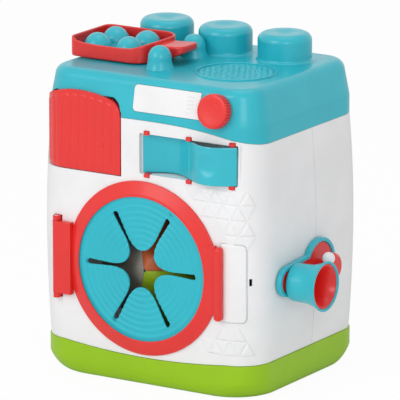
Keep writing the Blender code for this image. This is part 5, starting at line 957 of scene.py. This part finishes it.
class WASHER_OT_door(bpy.types.Operator):
    """Red door ring with hinge block, latch tab and grip bar, and the slotted membrane"""
    bl_idname = "washer.door"
    bl_label = "Door"

    def execute(self, context):
        back = SEAT_Y + 4.0 * MM
        profile = [(60.0, -90.2), (60.0, -91.0), (62.0, -91.0), (72.3, -87.7), (72.6, SEAT_Y / MM),
                   (66.0, SEAT_Y / MM), (66.0, back / MM), (63.0, back / MM), (63.0, -90.2)]
        profile = rounded(np.array(profile) * MM, 0.5 * MM, closed=True)
        ring = raw("door_ring", turned(profile, along_y(0.0, 0.0, DOOR_Z), 160))
        hinge_x, hinge_y, barrel = -83.2 * MM, -88.3 * MM, 3.2 * MM
        half = np.linspace(np.pi / 2, 1.5 * np.pi, 20)
        block = np.column_stack([hinge_x + barrel * np.cos(half), hinge_y + barrel * np.sin(half)])
        block = np.concatenate([block, [(-68 * MM, hinge_y - barrel), (-68 * MM, SEAT_Y),
                                        (hinge_x + barrel, SEAT_Y)]])
        low, high = DOOR_Z - 31.0 * MM, DOOR_Z + 29.4 * MM
        tab = box((63.5 * MM, SEAT_Y - 2.8 * MM, DOOR_Z - 29 * MM), (69.5 * MM, SEAT_Y, DOOR_Z + 28.5 * MM))
        carve(ring, [prism(block, low, high, along_z(0, 0, 0)), tab], "UNION")
        trim = box((69.5 * MM, -95 * MM, DOOR_Z - 37.3 * MM), (74.6 * MM, -82 * MM, DOOR_Z + 37.3 * MM))
        bore = bar(1.8 * MM, low - 2 * MM, high + 2 * MM, along_z(hinge_x, hinge_y, 0.0))
        carve(ring, [trim, bore])
        finish(ring, "door", ["door_frame"], stuff("red"))
        grip_back = -87.5 * MM
        face = grip_back - 5.6 * MM
        turn = np.linspace(0.0, np.pi / 2, 10)
        steps = [(0.25 * MM, grip_back), (0.0, grip_back - 0.4 * MM)]
        steps += [(2.6 * MM * (1 - math.cos(a)), face + 2.6 * MM * (1 - math.sin(a))) for a in turn]
        grip = cushion(69.8 * MM, 76.8 * MM, DOOR_Z - 33 * MM, DOOR_Z + 28.5 * MM, 3.2 * MM, steps, FACING)
        finish(raw("latch_bar", grip), "door", ["latch_grip"], stuff("red"))
        finish(raw("star_sheet", self.membrane()), "door", ["star_membrane"], stuff("membrane"), 50.0)
        return {"FINISHED"}

    def petal_edge(self):
        """Radius and angle of a slot's edge: tip circle, straight flank, then a curve to the petal's point."""
        tip = 52.0 * MM - 2.3 * MM
        turn = np.linspace(0.0, np.pi / 2, 10)
        round_tip = np.column_stack([tip + 2.3 * MM * np.cos(turn), 2.3 * MM * np.sin(turn)])
        start = np.array([30.0, 1.3]) * MM
        angle = 30 * DEG
        stop = np.array([math.cos(angle), math.sin(angle)]) * 15.3 * MM
        pull_start = start - np.array([start[0] - stop[0], 0.0]) * 0.55
        pull_stop = stop + np.array([math.sin(angle), -math.cos(angle)]) * stop[1] * 0.66
        t = np.linspace(0.0, 1.0, 30)[:, None]
        bend = (start * (1 - t) ** 3 + pull_start * 3 * t * (1 - t) ** 2
                + pull_stop * 3 * t * t * (1 - t) + stop * t ** 3)
        line = np.concatenate([round_tip, bend])
        radius = np.hypot(line[:, 0], line[:, 1])
        order = np.argsort(radius)
        return radius[order], np.arctan2(line[:, 1], line[:, 0])[order]

    def membrane(self):
        """Six petals: radius runs out from the tips, angle across each petal, rings raised by a cosine."""
        edge_radius, edge_angle = self.petal_edge()
        tip, outer = edge_radius[0], 62.7 * MM
        radius = np.concatenate([np.linspace(tip, 52.0 * MM, 90), np.linspace(52.4 * MM, outer, 22)])
        start = np.where(radius > 51.99 * MM, 0.0, np.interp(radius, edge_radius, edge_angle))
        wave = (1 + np.cos(2 * np.pi * (radius - 16.5 * MM) / sizes().ripple_pitch)) / 2
        fade = smooth_step(59.5 * MM - radius, 0.0, MM)
        front = -89.45 * MM - sizes().ripple_depth * wave * fade
        skins = []
        share = np.linspace(0.0, 1.0, 15)
        for petal in range(6):
            angle = petal * 60 * DEG + start[:, None] + (60 * DEG - 2 * start[:, None]) * share
            x = radius[:, None] * np.cos(angle)
            z = DOOR_Z + radius[:, None] * np.sin(angle)
            side = np.minimum(share, 1 - share) * (60 * DEG - 2 * start[:, None]) * radius[:, None]
            soft = 0.5 * MM * (1 - smooth_step(side, 0.0, 1.2 * MM)) * (radius[:, None] < 51 * MM)
            y = front[:, None] + soft
            near = np.stack([x, y, z], axis=-1)
            far = np.stack([x, np.full_like(x, -88.1 * MM), z], axis=-1)
            skins.append(plate(near, far))
        return join(*skins)


class WASHER_OT_drum(bpy.types.Operator):
    """White drum and the three coloured thirds of its cone, their colours darkened as painted shade"""
    bl_idname = "washer.drum"
    bl_label = "Drum"

    def cone_y(self, radius):
        return -85.8 * MM + 39.8 * MM * radius / (67.8 * MM)

    def execute(self, context):
        lift = 2.3 * MM
        back = lift + 2.64 * MM
        inner = 67.8 * MM
        points = [(0.0, self.cone_y(0.0) + lift + 1.5 * MM), (3 * MM, self.cone_y(3 * MM) + lift),
                  (inner, self.cone_y(inner) + lift), (inner, -78.5 * MM), (70 * MM, -78.5 * MM),
                  (70 * MM, -33.2 * MM), (inner, -31 * MM), (63.4 * MM, -31 * MM),
                  (63.4 * MM, self.cone_y(63.4 * MM) + back), (9 * MM, self.cone_y(9 * MM) + back),
                  (9 * MM, -18 * MM), (4.3 * MM, -18 * MM), (4.3 * MM, -60.3 * MM), (0.0, -60.3 * MM)]
        drum = raw("drum_moulding", turned(rounded(points, 0.6 * MM), along_y(0.0, 0.0, DRIVE_Z), 120))
        finish(drum, "drum", ["drum"], stuff("white"))
        # painted shade: each third gets a colour darkened to stand in for the shade inside the drum
        for index, (node, tone) in enumerate((("sector_orange", "orange"), ("sector_grey", "grey"),
                                              ("sector_lime", "lime_with_painted_shade"))):
            radius = np.linspace(1.5 * MM, 67.5 * MM, 24)[:, None]
            side = 0.15 * MM / radius
            share = np.linspace(0.0, 1.0, 40)
            angle = (120 * DEG * index + side) + (120 * DEG - 2 * side) * share
            x = radius * np.cos(angle)
            z = DRIVE_Z + radius * np.sin(angle)
            face = self.cone_y(radius) + 0 * angle
            near = np.stack([x, face, z], axis=-1)
            far = np.stack([x, face + 2.0 * MM, z], axis=-1)
            finish(raw(node + "_lining", plate(near, far)), "drum", [node], stuff(tone), 60.0)
        return {"FINISHED"}


class WASHER_OT_flap(bpy.types.Operator):
    """Red flap with round-ended staves and a plain rim"""
    bl_idname = "washer.flap"
    bl_label = "Flap"

    def execute(self, context):
        pitch = sizes().stave_pitch
        staves = round((FLAP_END - FLAP_RIGHT) / pitch)
        run = np.linspace(FLAP_RIGHT, FLAP_END, staves * 14 + 1)
        pitch = (FLAP_END - FLAP_RIGHT) / staves
        share = np.concatenate([np.linspace(0.0, 0.12, 12, endpoint=False),
                                np.linspace(0.12, 0.8, 16, endpoint=False), np.linspace(0.8, 1.0, 34)])
        low, high = flap_low(run), flap_high(run)
        z = low + (high - low) * share[:, None]
        position = (run - FLAP_RIGHT) / pitch
        middle = (np.floor(np.minimum(position, staves - 0.001)) + 0.5) * pitch + FLAP_RIGHT
        side = np.abs(run - middle)
        half = pitch / 2
        crest = flap_high(middle) - 3.6 * MM - half
        foot = flap_low(middle) + 1.5 * MM + half
        beyond = np.maximum(0.0, z - crest) + np.maximum(0.0, foot - z)
        away = half - np.hypot(side, beyond)
        swell = np.clip(away / (half * 0.9), 0.0, 1.0)
        bump = sizes().stave_height * np.sqrt(swell * (2 - swell))
        at_plan = wall_point(-run, 203.0 * MM, 0.4 * MM + bump)
        near = np.stack([at_plan[..., 0], at_plan[..., 1], z], axis=-1)
        inner = wall_point(-run, 203.0 * MM, -2.0 * MM)
        far = np.stack([np.broadcast_to(inner[..., 0], z.shape), np.broadcast_to(inner[..., 1], z.shape), z],
                       axis=-1)
        flap = raw("fluted_flap", plate(near, far))
        x, y = frame_axis("flap_hinge")
        ears = [bar(3.0 * MM, low_z, high_z, along_z(x, y, 0.0))
                for low_z, high_z in ((182.3 * MM, 185.9 * MM), (218.4 * MM, 222.0 * MM))]
        carve(flap, ears)
        carve(flap, [bar(2.2 * MM, 185.9 * MM, 218.4 * MM, along_z(x, y, 0.0))], "UNION")
        finish(flap, "flap", ["flap"], stuff("red"), 50.0)
        return {"FINISHED"}


def frame_axis(name):
    """Place of a joint's axis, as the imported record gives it."""
    places = {joint["name"]: joint["pos_m"] for joint in frame["joints"]}
    return places[name][:2]


class WASHER_OT_wave(bpy.types.Operator):
    """Teal wave panel in the window, with a thumb dimple on its bulge"""
    bl_idname = "washer.wave"
    bl_label = "Wave panel"

    def execute(self, context):
        left, right = -0.7 * MM, 87.4 * MM
        middle = (left + right) / 2
        low, high = 179.1 * MM, 210.4 * MM
        x = np.linspace(left, right, 120)
        z = np.linspace(low, high, 48)[:, None]
        wave = -84.6 * MM - 10.6 * MM * np.sin(2 * np.pi * (x - middle) / (right - left))
        centre_x = middle + (right - left) / 4
        away = np.hypot(x - centre_x, z - (low + high) / 2)
        dip = sizes().dimple * (1 - smooth_step(away, 3.0 * MM, 11.0 * MM))
        edge = np.minimum(z - low, high - z)
        soft = 0.35 * MM * (1 - smooth_step(edge, 0.0, 0.8 * MM))
        x_grid = np.broadcast_to(x, away.shape)
        near = np.stack([x_grid, wave - MM + dip + soft, np.broadcast_to(z, away.shape)], axis=-1)
        far = np.stack([x_grid, wave + MM + dip * 0.6 - soft, np.broadcast_to(z, away.shape)], axis=-1)
        panel = raw("wave_strip", join(plate(near, far),
                                       bar(1.9 * MM, low, high, along_z(middle, -83.8 * MM, 0.0))))
        finish(panel, "wave", ["wave_panel"], stuff("teal"), 50.0)
        return {"FINISHED"}


class WASHER_OT_window(bpy.types.Operator):
    """White pocket behind the window, with a broad reveal along its left side"""
    bl_idname = "washer.window"
    bl_label = "Window pocket"

    def execute(self, context):
        steps = [(0.0, -83.2 * MM), (0.0, -55.0 * MM), (0.6 * MM, -54.3 * MM), (1.6 * MM, -54.0 * MM)]
        tray = raw("window_pocket", cushion(-6.1 * MM, 89.9 * MM, 176.1 * MM, 213.4 * MM, 2.4 * MM, steps,
                                            FACING))
        inside = cushion(-1.35 * MM, 87.9 * MM, 178.1 * MM, 211.4 * MM, 1.2 * MM,
                         [(0.0, -86 * MM), (0.0, -57.5 * MM), (1.0 * MM, -56.0 * MM)], FACING)
        sweep = cushion(-4.1 * MM, -1.0 * MM, 178.1 * MM, 211.4 * MM, 0.6 * MM,
                        [(0.0, -86 * MM), (0.0, -82.9 * MM)], FACING)
        clips = []
        for x in (3.3 * MM, 43.35 * MM, 83.4 * MM):
            clips.append(box((x - 2.5 * MM, -86 * MM, 175.0 * MM), (x + 2.5 * MM, -82.3 * MM, 214.5 * MM)))
        carve(tray, [inside, sweep] + clips)
        finish(tray, "housing", ["window_tray"], stuff("white"))
        return {"FINISHED"}


class WASHER_OT_knob(bpy.types.Operator):
    """Red knob with a ribbed side, a soft face and a pointer groove"""
    bl_idname = "washer.knob"
    bl_label = "Knob"

    def execute(self, context):
        place = slope_place(68.2 * MM, 237.6 * MM)
        ribs = sizes().knob_ribs
        turn = np.linspace(0.0, 2 * np.pi, ribs * 12, endpoint=False)
        groove = 1.0 * MM * (1 - np.abs(np.cos(ribs * turn / 2))) ** 1.2
        rows = []
        for radius, z, depth in ((13.4, 0.6, 0.3), (14.0, 0.7, 0.8), (14.2, 1.2, 1.0), (14.2, 4.0, 1.0),
                                 (14.15, 6.3, 1.0), (14.05, 7.2, 0.9), (13.8, 7.8, 0.6), (13.4, 8.25, 0.25),
                                 (12.8, 8.5, 0.0), (12.0, 8.6, 0.0), (10.0, 8.52, 0.0), (7.0, 8.25, 0.0),
                                 (4.0, 8.08, 0.0), (1.0, 8.0, 0.0)):
            reach = radius * MM - groove * depth
            rows.append(np.column_stack([reach * np.cos(turn), reach * np.sin(turn),
                                         np.full(len(turn), z * MM)]))
        cap = rings(placed(np.stack(rows), place))
        shaft = bar(3.0 * MM, -7.0 * MM, 2.0 * MM, place)
        turn = np.linspace(5 * DEG, 85 * DEG, 24)
        rows = []
        for reach, z in ((5.3, 7.6), (5.35, 8.3), (5.6, 8.5), (5.9, 8.5), (6.15, 8.35), (6.2, 7.6)):
            rows.append(np.column_stack([reach * MM * np.cos(turn), reach * MM * np.sin(turn),
                                         np.full(len(turn), z * MM)]))
        arc = plate(placed(np.stack(rows[:3]), place), placed(np.stack(rows[:2:-1]), place))
        knob = raw("ribbed_knob", join(cap, shaft, arc))
        finish(knob, "knob", ["knob"], stuff("red"), 40.0)
        return {"FINISHED"}


class WASHER_OT_crank(bpy.types.Operator):
    """Crank: rimmed lever, red face, horn with its lining, mushroom cap and bead"""
    bl_idname = "washer.crank"
    bl_label = "Crank"

    def lever_outline(self, inset):
        """Round eye at the shaft and a half-round end to the arm; both radii shrink by the inset."""
        eye, arm = 23.0 * MM - inset, 12.7 * MM - inset
        start = math.asin(arm / eye)
        turn = np.linspace(start - np.pi / 2, 1.5 * np.pi - start, 80)
        around = np.column_stack([eye * np.cos(turn), eye * np.sin(turn)])
        turn = np.linspace(np.pi, 2 * np.pi, 40)
        end = np.column_stack([2.5 * MM + arm * np.cos(turn), -51.0 * MM + arm * np.sin(turn)])
        return np.concatenate([around, end])

    def stack(self, steps):
        grid = []
        for inset, z in steps:
            outline = self.lever_outline(inset * MM)
            grid.append(np.column_stack([outline, np.full(len(outline), z * MM)]))
        return rings(placed(np.stack(grid), along_x(0.0, CRANK_Y, DRIVE_Z)))

    def horn_profile(self, skin, low, high, count=26):
        """Radius over height: slow swell from the foot, then a rise by a power of the rest of the way."""
        share = np.linspace(0.0, 1.0, count)
        flare = 0.16 * share + 0.84 * np.maximum(0.0, (share - 0.4) / 0.6) ** 1.9
        radius = 15.5 * MM + 5.1 * MM * flare - skin
        return np.column_stack([radius, low + (high - low) * share])

    def execute(self, context):
        lever = self.stack([(0.7, 107.8), (0.15, 107.95), (0.0, 108.4), (0.0, 111.6), (0.12, 112.05),
                            (0.4, 112.3), (0.9, 112.4), (2.6, 112.4), (3.1, 112.25), (3.35, 111.9),
                            (3.4, 111.4), (3.4, 110.0)])
        finish(raw("crank_arm", lever), "crank", ["crank_lever"], stuff("teal"))
        face = self.stack([(3.7, 110.3), (3.7, 110.9), (3.85, 111.12), (4.2, 111.2)])
        finish(raw("crank_plate", face), "crank", ["crank_face"], stuff("red"))
        low, high = LEVER_FACE + 0.3 * MM, LEVER_FACE + 29.3 * MM
        place = along_x(0.0, HORN_Y, HORN_Z)
        outer = self.horn_profile(0.0, low + 0.5 * MM, high - 0.9 * MM)
        inner = self.horn_profile(1.9 * MM, low + 3 * MM, high - 0.9 * MM)[::-1]
        lip = [(20.6, 141.35), (20.35, 141.62), (19.7, 141.7), (19.1, 141.6), (18.8, 141.35)]
        profile = np.concatenate([[(3.3 * MM, low), (14.9 * MM, low)], outer, np.array(lip) * MM, inner,
                                  [(3.3 * MM, low + 3 * MM)]])
        finish(raw("horn_bell", turned(profile, place, 96)), "horn", ["horn"], stuff("teal"))
        floor = low + 4.9 * MM
        outer = self.horn_profile(2.2 * MM, floor, high - 1.3 * MM)
        inner = self.horn_profile(3.7 * MM, floor + 1.6 * MM, high - 1.3 * MM)[::-1]
        profile = np.concatenate([[(0.0, floor)], outer, inner, [(0.0, floor + 1.6 * MM)]])
        finish(raw("horn_cup", turned(profile, place, 96)), "horn", ["horn_liner"], stuff("red"))
        self.cap()
        return {"FINISHED"}

    def cap(self):
        """Stem, thin rim and domed head, with a socket cut for the bead in its edge."""
        top = 122.2 * MM
        turn = np.linspace(0.0, np.pi / 2, 12)
        dome = [(7.6 * MM + 4.2 * MM * math.cos(a), top + 4.2 * MM * math.sin(a)) for a in turn]
        points = [(0.0, 110.3 * MM), (5 * MM, 110.3 * MM), (5 * MM, top - 0.6 * MM), (5.6 * MM, top),
                  (11.2 * MM, top)] + dome + [(4.0 * MM, top + 4.25 * MM), (0.0, top + 4.2 * MM)]
        cap = raw("mushroom_cap", turned(points, along_x(0.0, CRANK_Y, DRIVE_Z), 80))
        side = Vector((0.0, math.cos(134 * DEG), math.sin(134 * DEG)))
        spot = Vector((124.6 * MM, CRANK_Y, DRIVE_Z)) + side * 13.2 * MM
        place = Matrix.Translation(spot) @ (-side).to_track_quat("Z", "Y").to_matrix().to_4x4()
        carve(cap, [self.bead(place, 0.3 * MM)])
        finish(cap, "crank", ["crank_cap"], stuff("red"))
        finish(raw("cap_bead", self.bead(place, 0.0)), "crank", ["crank_bead"], stuff("white"))

    def bead(self, place, spare):
        """Ball of the bead's radius with a round pin through its middle."""
        radius, pin = 5.2 * MM + spare, 1.3 * MM + spare
        turn = np.linspace(-np.pi / 2, np.pi / 2 - math.asin(pin / radius), 24)
        ball = np.column_stack([radius * np.cos(turn), radius * np.sin(turn)])
        ball[0, 0] = 0.0
        reach = 9.6 * MM + spare
        return turned(np.concatenate([ball, [(pin, reach), (0.0, reach)]]), place, 48)


class WASHER_OT_tray(bpy.types.Operator):
    """Tip-up tray with a scooped front, its tongue and the panel of four domes"""
    bl_idname = "washer.tray"
    bl_label = "Tray"

    def outline(self, inset):
        """Tray seen from above: small round corners on the left, wide ones on the right."""
        low, high = TRAY_Y - 29.5 * MM + inset, TRAY_Y + 29.5 * MM - inset
        left, right = TRAY_LEFT + inset, TRAY_RIGHT - inset
        small, large = 7.0 * MM - inset, 17.0 * MM - inset
        parts = []
        share = np.linspace(0.0, 1.0, 24, endpoint=False)[1:]
        x = left + small + (right - large - left - small) * share
        quarter = np.linspace(-np.pi / 2, 0.0, 14)
        parts.append(np.column_stack([x, np.full(len(x), low)]))
        parts.append(np.column_stack([right - large + large * np.cos(quarter),
                                      low + large + large * np.sin(quarter)]))
        parts.append(np.column_stack([right - large + large * np.cos(quarter + np.pi / 2),
                                      high - large + large * np.sin(quarter + np.pi / 2)]))
        parts.append(np.column_stack([x[::-1], np.full(len(x), high)]))
        parts.append(np.column_stack([left + small + small * np.cos(quarter + np.pi),
                                      high - small + small * np.sin(quarter + np.pi)]))
        parts.append(np.column_stack([left + small + small * np.cos(quarter + 1.5 * np.pi),
                                      low + small + small * np.sin(quarter + 1.5 * np.pi)]))
        return np.concatenate(parts)

    def rim(self, outline):
        """Top of the wall: level at the ends and back, scooped along the front by a fourth power."""
        middle = (TRAY_LEFT + TRAY_RIGHT) / 2
        half = (TRAY_RIGHT - TRAY_LEFT) / 2
        share = np.minimum(1.0, np.abs(outline[:, 0] - middle) / half)
        front = np.clip((TRAY_Y - outline[:, 1]) / (29.5 * MM), 0.0, 1.0)
        return 273.5 * MM - 4.7 * MM * (1 - share ** 4) * front

    def tongue(self):
        """Rounded-rectangle sections along X: level top, underside that rises to a thin round tip."""
        share = np.linspace(0.0, 1.0, 40)
        start, tip = TRAY_RIGHT - 1.1 * MM, 2.6 * MM
        x = start + (tip - start) * share
        top = (270.9 + 1.6 * share ** 2) * MM
        under = np.maximum(0.0, share - 0.35) / 0.65
        low = (259.7 + 7.8 * under ** 1.3) * MM
        side = 13.2 * MM - np.minimum(corner_drop(x - (tip - 7 * MM), 7 * MM), 4.9 * MM)
        close = corner_drop(x - (tip - 1.6 * MM), 1.6 * MM)
        top, low, side = top - close, low + close, side - close * 0.4
        unit = soft_outline(-1.0, 1.0, -1.0, 1.0, 0.5, 8)
        corner = np.sign(unit)
        round_part = (unit - corner * 0.5) / 0.5
        radius = np.minimum(1.7 * MM, (top - low) / 2.2)[:, None]
        y = TRAY_Y + corner[:, 0] * (side[:, None] - radius) + round_part[:, 0] * radius
        z = (top + low)[:, None] / 2 + corner[:, 1] * ((top - low)[:, None] / 2 - radius) \
            + round_part[:, 1] * radius
        return rings(np.stack([np.broadcast_to(x[:, None], y.shape), y, z], axis=-1))

    def execute(self, context):
        outer = self.outline(0.0)
        rim = self.rim(outer)
        rows = []
        for inset, z in ((1.4, TRAY_LOW), (0.5, TRAY_LOW + 0.2 * MM), (0.1, TRAY_LOW + 0.8 * MM),
                         (0.0, TRAY_LOW + 1.6 * MM)):
            ring = self.outline(inset * MM)
            rows.append(np.column_stack([ring, np.full(len(ring), z)]))
        for inset, drop in ((0.0, 1.2), (0.08, 0.6), (0.35, 0.2), (0.8, 0.02), (1.1, 0.0), (1.4, 0.02),
                            (1.85, 0.2), (2.12, 0.6), (2.2, 1.2)):
            ring = self.outline(inset * MM)
            rows.append(np.column_stack([ring, rim - drop * MM]))
        ring = self.outline(2.2 * MM)
        rows.append(np.column_stack([ring, np.full(len(ring), TRAY_LOW + 2.0 * MM)]))
        tray = raw("tray_moulding", rings(np.stack(rows)))
        carve(tray, [self.tongue()], "UNION")
        carve(tray, [bar(1.9 * MM, -60 * MM, 30 * MM, along_y(POST_X, 0.0, 265.3 * MM))])
        finish(tray, "tray", ["tray_frame"], stuff("red"))
        rows = []
        for inset, z in ((2.5, 259.5), (2.5, 261.9), (2.62, 262.25), (3.0, 262.4)):
            ring = self.outline(inset * MM)
            rows.append(np.column_stack([ring, np.full(len(ring), z * MM)]))
        skins = [rings(np.stack(rows))]
        for column in (-1, 1):
            for row in (-1, 1):
                spot = ((TRAY_LEFT + TRAY_RIGHT) / 2 - 3.4 * MM + column * 15.3 * MM, TRAY_Y + row * 13.6 * MM)
                skins.append(self.dome(*spot))
        panel = raw("bubble_sheet", join(*skins))
        finish(panel, "tray", ["bubble_panel"], stuff("teal"), 40.0)
        return {"FINISHED"}

    def dome(self, x, y):
        """Pop dome: a small flare at the foot, then radius * cos and height * sin over a quarter turn."""
        foot, radius, height = 262.3 * MM, 11.8 * MM, 13.2 * MM
        turn = np.linspace(0.0, np.pi / 2, 26)
        crown = [(radius * math.cos(a), foot + 0.1 * MM + height * math.sin(a)) for a in turn[2:]]
        flare = [(radius + 1.3 * MM * (1 - s), foot + 1.3 * MM * s * s) for s in (0.0, 0.35, 0.7, 0.95)]
        points = [(0.0, foot - 2 * MM), (radius + 1.3 * MM, foot - 2 * MM)] + flare + crown
        points[-1] = (0.0, foot + 0.1 * MM + height)
        return turned(points, along_z(x, y, 0.0), 64)


class WASHER_OT_kept(bpy.types.Operator):
    """Finishes of the CAD pieces whose shape is kept"""
    bl_idname = "washer.kept"
    bl_label = "Kept pieces"

    def execute(self, context):
        finishes = {
            "steel": ["base_screw_front_left", "base_screw_front_right", "base_screw_rear_left",
                      "base_screw_rear_right", "flap_pin", "wave_pin", "door_hinge_pin", "tray_pin",
                      "drum_axle", "crank_shaft", "horn_pin"],
            "nylon": ["drum_bush", "crank_bush", "crown_gear", "pinion", "knob_washer"],
            "white": ["hopper"],
            "red": ["hinge_bracket", "membrane_retainer", "window_clip_left_low", "window_clip_left_high",
                    "window_clip_middle_low", "window_clip_middle_high", "window_clip_right_low",
                    "window_clip_right_high"],
        }
        for name, nodes in finishes.items():
            for node in nodes:
                for place in frame["nodes"][node].material_slots:
                    place.material = stuff(name)
        return {"FINISHED"}


class WASHER_OT_stage(bpy.types.Operator):
    """Pale floor, soft studio light and the camera"""
    bl_idname = "washer.stage"
    bl_label = "Stage"

    def execute(self, context):
        self.floor()
        self.world()
        self.lamp("key", (-0.6, -1.9, 1.25), 1.1, 14.0)
        self.lamp("camera_side", (1.3, -1.45, 0.85), 0.7, 6.5)
        self.lamp("fill", (2.0, -0.3, 0.9), 1.4, 1.0)
        self.lamp("top", (0.1, 0.2, 2.2), 1.4, 6.0)
        self.camera()
        context.scene.view_settings.view_transform = "Standard"
        return {"FINISHED"}

    def floor(self):
        """Wide sheet that shows white to the camera and keeps a light shadow."""
        side = np.linspace(-3.0, 3.0, 7)
        x, y = np.meshgrid(side, side)
        mesh = bpy.data.meshes.new("studio_floor")
        points = np.stack([x, y, np.full_like(x, -0.1 * MM)], axis=-1).reshape(-1, 3)
        mesh.from_pydata(points.tolist(), [], grid_faces(7, 7).tolist())
        floor = bpy.data.objects.new("studio_floor", mesh)
        bpy.context.scene.collection.objects.link(floor)
        board = Board("floor_paper")
        grain = board.noise(board.place(), 40.0, 3.0)
        base = board.mix(grain, (0.93, 0.93, 0.93, 1.0), (0.96, 0.96, 0.96, 1.0))
        board.set(Base_Color=base, Roughness=0.9)
        rays = board.tree.nodes.new("ShaderNodeLightPath")
        seen = Wire(board, rays.outputs["Is Camera Ray"])
        glow = board.node("ShaderNodeEmission", {}, {"Color": (1.0, 1.0, 1.0, 1.0), "Strength": 1.0})
        plain = Wire(board, board.shader.outputs[0])
        both = board.node("ShaderNodeMixShader", {}, {0: seen * 0.95, 1: plain, 2: glow})
        output = board.tree.nodes["Material Output"]
        board.tree.links.new(both.socket, output.inputs["Surface"])
        mesh.materials.append(board.material)

    def world(self):
        """Even pale light; white where the camera or a glossy surface looks past the floor."""
        world = bpy.data.worlds.new("studio")
        bpy.context.scene.world = world
        world.use_nodes = True
        tree = world.node_tree
        tree.nodes.clear()
        path = tree.nodes.new("ShaderNodeLightPath")
        seen = tree.nodes.new("ShaderNodeMath")
        seen.operation = "MAXIMUM"
        also = tree.nodes.new("ShaderNodeMath")
        also.operation = "MAXIMUM"
        tree.links.new(path.outputs["Is Camera Ray"], seen.inputs[0])
        tree.links.new(path.outputs["Is Glossy Ray"], seen.inputs[1])
        tree.links.new(seen.outputs[0], also.inputs[0])
        tree.links.new(path.outputs["Is Transmission Ray"], also.inputs[1])
        ambient = tree.nodes.new("ShaderNodeBackground")
        ambient.inputs["Color"].default_value = (1.0, 1.0, 1.0, 1.0)
        ambient.inputs["Strength"].default_value = 0.55
        white = tree.nodes.new("ShaderNodeBackground")
        white.inputs["Color"].default_value = (1.0, 1.0, 1.0, 1.0)
        white.inputs["Strength"].default_value = 1.0
        mixed = tree.nodes.new("ShaderNodeMixShader")
        out = tree.nodes.new("ShaderNodeOutputWorld")
        tree.links.new(also.outputs[0], mixed.inputs[0])
        tree.links.new(ambient.outputs[0], mixed.inputs[1])
        tree.links.new(white.outputs[0], mixed.inputs[2])
        tree.links.new(mixed.outputs[0], out.inputs["Surface"])

    def lamp(self, name, spot, size, power):
        """Square soft box that faces the middle of the housing."""
        light = bpy.data.lights.new(name, "AREA")
        light.size = size
        light.energy = power
        thing = bpy.data.objects.new(name, light)
        thing.location = spot
        aim = Vector((0.0, 0.0, 0.13)) - Vector(spot)
        thing.rotation_euler = aim.to_track_quat("-Z", "Y").to_euler()
        bpy.context.scene.collection.objects.link(thing)

    def camera(self):
        """Long lens from the front right, a little above the deck."""
        turn, rise = 32.18 * DEG, 14.02 * DEG
        back = Vector((math.sin(turn) * math.cos(rise), -math.cos(turn) * math.cos(rise), math.sin(rise)))
        right = Vector((math.cos(turn), math.sin(turn), 0.0))
        up = back.cross(right)
        distance, pixels = 4.093, 5063.0
        across = (140.618 - 200.0) / pixels * distance
        above = (200.0 - 269.518) / pixels * distance
        spot = Vector((0.0, -90.8 * MM, 99.5 * MM)) - right * across - up * above + back * distance
        lens = bpy.data.cameras.new("studio_camera")
        lens.sensor_width = 36.0
        lens.lens = pixels * 36.0 / 400.0
        lens.clip_end = 20.0
        camera = bpy.data.objects.new("studio_camera", lens)
        camera.matrix_world = Matrix((right, up, back)).transposed().to_4x4()
        camera.location = spot
        bpy.context.scene.collection.objects.link(camera)
        bpy.context.scene.camera = camera


PIECES = (WASHER_OT_top, WASHER_OT_walls, WASHER_OT_catch, WASHER_OT_base, WASHER_OT_door, WASHER_OT_drum,
          WASHER_OT_flap, WASHER_OT_wave, WASHER_OT_window, WASHER_OT_knob, WASHER_OT_crank, WASHER_OT_tray, WASHER_OT_kept,
          WASHER_OT_stage)


class WASHER_PT_panel(bpy.types.Panel):
    """Buttons for every group of pieces, and the sizes and colours they use"""
    bl_idname = "WASHER_PT_panel"
    bl_label = "Toy washing machine"
    bl_space_type = "VIEW_3D"
    bl_region_type = "UI"
    bl_category = "Washer"

    def draw(self, context):
        for piece in PIECES:
            self.layout.operator(piece.bl_idname)
        for group in (context.scene.washer_sizes, context.scene.washer_colours):
            column = self.layout.column()
            for name in group.__annotations__:
                column.prop(group, name)


CLASSES = (WasherColours, WasherSizes) + PIECES + (WASHER_PT_panel,)


def register():
    for kind in CLASSES:
        bpy.utils.register_class(kind)
    bpy.types.Scene.washer_colours = PointerProperty(type=WasherColours)
    bpy.types.Scene.washer_sizes = PointerProperty(type=WasherSizes)


def unregister():
    del bpy.types.Scene.washer_sizes
    del bpy.types.Scene.washer_colours
    for kind in reversed(CLASSES):
        bpy.utils.unregister_class(kind)


def main():
    register()
    for piece in PIECES:
        group, name = piece.bl_idname.split(".")
        getattr(getattr(bpy.ops, group), name)()


if __name__ == "__main__":
    main()
